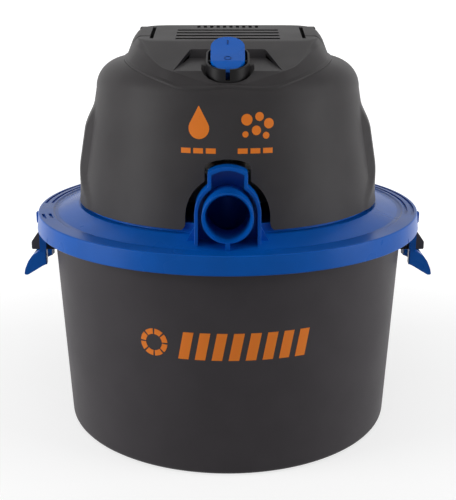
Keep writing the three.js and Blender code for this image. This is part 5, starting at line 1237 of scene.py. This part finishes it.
class VACUUM_OT_switch(bpy.types.Operator):
    """Builds the switch: a rounded ring with a slit at the front, and the rocker with its two marks"""

    bl_idname = "vacuum.switch"
    bl_label = "Switch"

    def execute(self, context):
        ring = prism("switch_ring", stadium(BEZEL_WIDTH, BEZEL_LENGTH, SWITCH_Y, 28), BEZEL_LOW.z, 320 * MM)
        run = 40 * MM
        rise = run * math.tan(BEZEL_SLOPE)
        slant = prism("slant", [
            (SWITCH_Y - run, BEZEL_TOP - rise), (SWITCH_Y + run, BEZEL_TOP + rise),
            (SWITCH_Y + run, 360 * MM), (SWITCH_Y - run, 360 * MM)], -60 * MM, 60 * MM, "X")
        cut(ring, slant)
        soften_edges(ring, 0.7 * MM, 4, 50)
        clear = stadium(BEZEL_WIDTH - 3 * MM, BEZEL_LENGTH - 3 * MM, SWITCH_Y, 28)
        hole = prism("hole", clear, 200 * MM, 360 * MM)
        slit = box_solid("slit", (-1.45 * MM, -99 * MM, 288.5 * MM), (1.45 * MM, -94 * MM, 320 * MM))
        pin = rod("pin_hole", 1.35 * MM, -30 * MM, 30 * MM, ROCKER_PIVOT, "X", 24)
        cut(ring, hole, slit, pin)
        finished(ring, Paints.get("bezel"), "head", ["switch_bezel"])

        rocker = self.rocker()
        # the rocker's colour is the lid's blue lifted by a painted sheen
        finished(rocker, Paints.get("bright_blue"), "rocker", ["switch_rocker"], 26)
        for name, mark in (("mark_on", self.on_mark()), ("mark_off", self.off_mark())):
            mark.data.transform(self.rest_place())
            mark.name = name
            finished(mark, Paints.get("deep_blue"), "rocker", ())
        return {"FINISHED"}

    def rest_place(self):
        """From level about the pivot to the rocker's tilt at rest."""
        return Matrix.Translation((0, *ROCKER_PIVOT)) @ Matrix.Rotation(ROCKER_TILT, 4, "X")

    def rocker(self):
        """Drawn level about its pivot: a body with two finger pads that meet at a fold, then tilted."""
        half, deep = 18.5 * MM, 9 * MM
        reach = math.hypot(half, deep)
        start = math.atan2(deep, half)
        turns = [start - 0.55 * k / 6 for k in range(6, -1, -1)]
        side = [(reach * math.cos(t), reach * math.sin(t)) for t in turns]
        side += mm((12, 8.7), (4, 8.35), (-6, 8.3), (-11.1, 8.4), (-11.9, 8.15), (-17, 5.6), (-18.6, 3.6))
        side += [(-a, b) for a, b in reversed(side[:5])]
        side.append((0, -6 * MM))
        body = prism("rocker_body", side, -12.2 * MM, 12.2 * MM, "X")
        plan = prism("plan", stadium(24.4 * MM, 37.6 * MM, 0, 28), -20 * MM, 20 * MM)
        kept(body, plan)
        soften_edges(body, 0.8 * MM, 4, 50)
        leg = box_solid("leg", (-3 * MM, -2.5 * MM, -11 * MM), (3 * MM, 2.5 * MM, 0))
        joined(body, leg)
        cut(body, rod("pin_hole", 1.35 * MM, -30 * MM, 30 * MM, (0, 0), "X", 24))
        body.data.transform(self.rest_place())
        return body

    def on_mark(self):
        low, high = mm((-0.5, 9.4, 8.0), (0.5, 14.4, 9.0))
        return box_solid("mark", low, high, 0.1 * MM, 2)

    def off_mark(self):
        mark = rod("mark", 2.5 * MM, 8.1 * MM, 8.6 * MM, (0, -7.9 * MM), "Z", 40)
        cut(mark, rod("hollow", 1.9 * MM, 0, 20 * MM, (0, -7.9 * MM), "Z", 40))
        return mark


# ---------------------------------------------------------------- printed marks
PROUD = 0.12 * MM  # how far the ink stands off the plastic
DRUM_TAPER = 0.0496  # growth of the drum wall's radius with height


def drum_radius(z):
    """Outer radius of the drum's tapered wall at a height."""
    return wanted("drum").base_radius + DRUM_TAPER * z


def printed(name, outlines, surface, body):
    """Thin closed patches that follow a cone round Z: outlines in (arc, height), 0 at the front."""
    bm = bmesh.new()
    for outline in outlines:
        arc, z = (sum(p[i] for p in outline) / len(outline) for i in (0, 1))
        middle = (arc, z)
        rings = [[(arc + (p[0] - arc) * share, z + (p[1] - z) * share) for p in outline]
                 for share in (1.0, 0.66, 0.33)]
        sheets = []
        for lift in (-0.3 * MM, PROUD):
            rows = [[bm.verts.new(on_cone(p, surface, lift)) for p in ring] for ring in rings]
            rows.append([bm.verts.new(on_cone(middle, surface, lift))])
            sheets.append(rows)
        count = len(outline)
        for rows, flip in ((sheets[0], True), (sheets[1], False)):
            for lower, upper in zip(rows, rows[1:]):
                for i in range(count):
                    j = (i + 1) % count
                    corners = [lower[i], lower[j]] + ([upper[0]] if len(upper) == 1 else [upper[j], upper[i]])
                    bm.faces.new(list(reversed(corners)) if flip else corners)
        for i in range(count):
            j = (i + 1) % count
            bm.faces.new([sheets[0][0][i], sheets[0][0][j], sheets[1][0][j], sheets[1][0][i]])
    bmesh.ops.recalc_face_normals(bm, faces=bm.faces)
    made = as_object(bm, name)
    return finished(made, Paints.get("ink"), body)


def on_cone(point, surface, lift):
    """A flat (arc, height) point laid on a cone round Z, lifted off its surface."""
    arc, z = point
    radius = surface(z) + lift
    turn = arc / surface(z)
    return (radius * math.sin(turn), -radius * math.cos(turn), z)


def drop_outline(x, z, radius):
    """A water drop: a round foot that draws up to a point."""
    run = [(x + radius * math.cos(t), z + radius * math.sin(t))
           for t in (math.pi * (0.86 + 1.28 * k / 16) for k in range(17))]
    return run + [(x, z + 2.1 * radius)]


def slanted(x, z, width, height, lean):
    """A bar from x on, centred on height z, its top shifted by lean."""
    low, high = z - height / 2, z + height / 2
    steps = max(2, int(width / (2 * MM)))
    under = [(x + width * k / steps, low) for k in range(steps + 1)]
    return under + [(px + lean, high) for px, _ in reversed(under)]


def sector(x, z, inner, outer, start, sweep):
    """A piece of a ring."""
    turns = [math.radians(start + sweep * k / 6) for k in range(7)]
    return ([(x + outer * math.cos(t), z + outer * math.sin(t)) for t in turns]
            + [(x + inner * math.cos(t), z + inner * math.sin(t)) for t in reversed(turns)])


class VACUUM_OT_prints(bpy.types.Operator):
    """Builds the printed marks: two plain pictures on the housing and a row of bars on the drum"""

    bl_idname = "vacuum.prints"
    bl_label = "Printed marks"

    def execute(self, context):
        middle = 258 * MM
        left, right = -20.4 * MM, 20 * MM
        marks = [drop_outline(left, middle - 1.6 * MM, 7.4 * MM)]
        for a, b, r in mm((-6.6, 4.4, 4.0), (2.4, 6.4, 3.1), (9.2, 1.6, 3.6),
                          (0.2, -3.0, 3.3), (7.2, -6.6, 2.4), (-7.6, -5.6, 2.2)):
            marks.append(circle(right + a, middle + b, r, 20))
        for x in (left, right):
            marks += [slanted(x + step * MM, 241 * MM, 7 * MM, 3.6 * MM, 0) for step in (-13, -4, 5)]
        printed("print_housing", marks, barrel_radius, "head")
        base = 105.5 * MM
        dial = [sector(-54.6 * MM, base, 6.4 * MM, 10.6 * MM, 45 * k + 4, 37) for k in range(8)]
        bars = [slanted((-36 + 12.2 * k) * MM, base, 7.6 * MM, 21 * MM, 4 * MM) for k in range(8)]
        printed("print_drum", dial + bars, drum_radius, "drum")
        return {"FINISHED"}


# ---------------------------------------------------------------- filter sleeve
class VACUUM_OT_filter(bpy.types.Operator):
    """Builds the foam sleeve round the filter cage"""

    bl_idname = "vacuum.filter"
    bl_label = "Foam sleeve"

    def execute(self, context):
        low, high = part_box("foam_sleeve")
        outer = high.x
        inner = min(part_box("filter_cage")[1].x, 36.5 * MM)  # the sleeve's bore, no wider than the cage
        outline = rounded(
            [(inner, low.z), (outer, low.z), (outer, high.z), (inner, high.z)],
            [1 * MM, 4 * MM, 4 * MM, 1 * MM], 6)
        wall = []
        for (r0, z0), (r1, z1) in zip(outline, outline[1:] + outline[:1]):
            steps = max(1, int(math.hypot(r1 - r0, z1 - z0) / (3 * MM)))
            wall += [(r0 + (r1 - r0) * k / steps, z0 + (z1 - z0) * k / steps) for k in range(steps)]
        sleeve = revolved("foam_filter", wall, 120)
        finished(sleeve, Paints.get("foam"), "head", ["foam_sleeve"], 60)
        return {"FINISHED"}


# ---------------------------------------------------------------- finishes of the frame's own pieces
FRAME_FINISHES = {
    "laminate": ("stator_core", "armature_core"),
    "winding": ("field_coil", "armature_windings"),
    "copper": ("commutator", "brush_holder"),
    "carbon": ("carbon_brush",),
    "aluminium": ("fan_cover", "upper_bracket", "impeller"),
    "white": ("fan_case", "float_cup"),
    "rubber": ("gasket", "foam_band", "cord_gland"),
    "blue": ("inlet_deflector",),
    "dark": ("filter_cage", "cage_cap", "cooling_fan", "exhaust", "switch_body", "rocker_pin"),
}


class VACUUM_OT_frame_finishes(bpy.types.Operator):
    """Gives each piece that keeps its frame shape a finish of its own kind"""

    bl_idname = "vacuum.frame_finishes"
    bl_label = "Inner pieces' finishes"

    def execute(self, context):
        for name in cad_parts:
            obj = bpy.data.objects.get(name)
            if obj is None or obj.hide_render:
                continue
            kinds = [k for k, parts in FRAME_FINISHES.items() if any(part in name for part in parts)]
            kind = kinds[0] if kinds else "steel"
            for slot in obj.material_slots:
                slot.material = Paints.get(kind)
        return {"FINISHED"}


# ---------------------------------------------------------------- stage
def lamp(name, place, aim, size, power, mirrored=True):
    """A soft box that points at aim; one that isn't mirrored lights the object without showing in it."""
    light = bpy.data.lights.new(name, "AREA")
    light.shape = "RECTANGLE"
    light.size, light.size_y = size
    light.energy = power
    obj = placed(name, light)
    obj.location = place
    obj.rotation_euler = (Vector(aim) - Vector(place)).to_track_quat("-Z", "Y").to_euler()
    obj.visible_glossy = mirrored
    return obj


class VACUUM_OT_stage(bpy.types.Operator):
    """Builds the floor, the surroundings, the lamps and the camera"""

    bl_idname = "vacuum.stage"
    bl_label = "Stage"

    ROOM_LIGHT = 0.22  # soft light from above, beside and behind
    FRONT_LIGHT = 0.02  # what is left of it straight from the front

    def execute(self, context):
        scene = context.scene
        floor = box_solid("floor", (-FLOOR_REACH, -FLOOR_REACH, -0.02), (FLOOR_REACH, FLOOR_REACH, 0))
        floor.data.materials.append(floor_finish("floor", wanted("colours").floor))
        self.surroundings(scene)
        lamp("left_box", (-1.5, -0.5, 0.5), (0, 0, 0.15), (0.9, 0.9), 17)
        lamp("right_box", (1.5, -0.45, 0.5), (0, 0, 0.15), (0.9, 0.9), 14)
        lamp("top_box", (0, -0.75, 1.9), (0, 0, 0.2), (1.2, 1.0), 5, False)
        lens = bpy.data.cameras.new("camera")
        lens.sensor_fit = "VERTICAL"
        lens.sensor_height = 36
        lens.lens = 65.97
        lens.shift_x = 0.0005
        camera = placed("camera", lens)
        camera.location = (0, -0.74503, 0.35443)
        camera.rotation_euler = (math.radians(73.711), 0, 0)
        scene.camera = camera
        scene.view_settings.view_transform = "Standard"
        return {"FINISHED"}

    def surroundings(self, scene):
        """White for the camera, a gloss or a clear piece; for the rest soft light, weaker from the front."""
        world = bpy.data.worlds.new("surroundings")
        scene.world = world
        world.use_nodes = True
        tree = world.node_tree
        path = tree.nodes.new("ShaderNodeLightPath")
        place = tree.nodes.new("ShaderNodeTexCoord")
        split = tree.nodes.new("ShaderNodeSeparateXYZ")
        tree.links.new(place.outputs["Generated"], split.inputs[0])
        around = tree.nodes.new("ShaderNodeMapRange")
        around.interpolation_type = "SMOOTHSTEP"
        limits = {"From Min": -0.95, "From Max": -0.1, "To Min": self.FRONT_LIGHT, "To Max": self.ROOM_LIGHT}
        for name, value in limits.items():
            around.inputs[name].default_value = value
        tree.links.new(split.outputs["Y"], around.inputs["Value"])
        strength = around.outputs["Result"]
        for kind in BACKDROP_RAYS:
            larger = tree.nodes.new("ShaderNodeMath")
            larger.operation = "MAXIMUM"
            tree.links.new(strength, larger.inputs[0])
            tree.links.new(path.outputs[f"Is {kind} Ray"], larger.inputs[1])
            strength = larger.outputs[0]
        shader = tree.nodes["Background"]
        tree.links.new(strength, shader.inputs["Strength"])
        shader.inputs["Color"].default_value = (1, 1, 1, 1)


# ---------------------------------------------------------------- add-on
class VACUUM_PT_panel(bpy.types.Panel):
    """The vacuum's sizes, and one button for each group of pieces"""

    bl_label = "Shop vacuum"
    bl_idname = "VACUUM_PT_panel"
    bl_space_type = "VIEW_3D"
    bl_region_type = "UI"
    bl_category = "Vacuum"

    def draw(self, context):
        for group in ("drum", "lid", "head", "colours"):
            values = getattr(context.scene, "vacuum_" + group)
            box = self.layout.box()
            box.label(text=group.capitalize())
            for key in values.__annotations__:
                box.prop(values, key)
        for kind in OPERATORS:
            self.layout.operator(kind.bl_idname)


OPERATORS = (
    VACUUM_OT_drum, VACUUM_OT_lid, VACUUM_OT_latches, VACUUM_OT_housing, VACUUM_OT_cover, VACUUM_OT_handle,
    VACUUM_OT_switch, VACUUM_OT_prints, VACUUM_OT_filter, VACUUM_OT_frame_finishes, VACUUM_OT_stage)
GROUPS = {"drum": DrumSizes, "lid": LidSizes, "head": HeadSizes, "colours": Colours}
CLASSES = (*GROUPS.values(), *OPERATORS, VACUUM_PT_panel)


def register():
    for kind in CLASSES:
        bpy.utils.register_class(kind)
    for name, group in GROUPS.items():
        setattr(bpy.types.Scene, "vacuum_" + name, bpy.props.PointerProperty(type=group))


def unregister():
    for name in GROUPS:
        delattr(bpy.types.Scene, "vacuum_" + name)
    for kind in reversed(CLASSES):
        bpy.utils.unregister_class(kind)


def main():
    register()
    for kind in OPERATORS:
        space, name = kind.bl_idname.split(".")
        getattr(getattr(bpy.ops, space), name)()


if __name__ == "__main__":
    main()
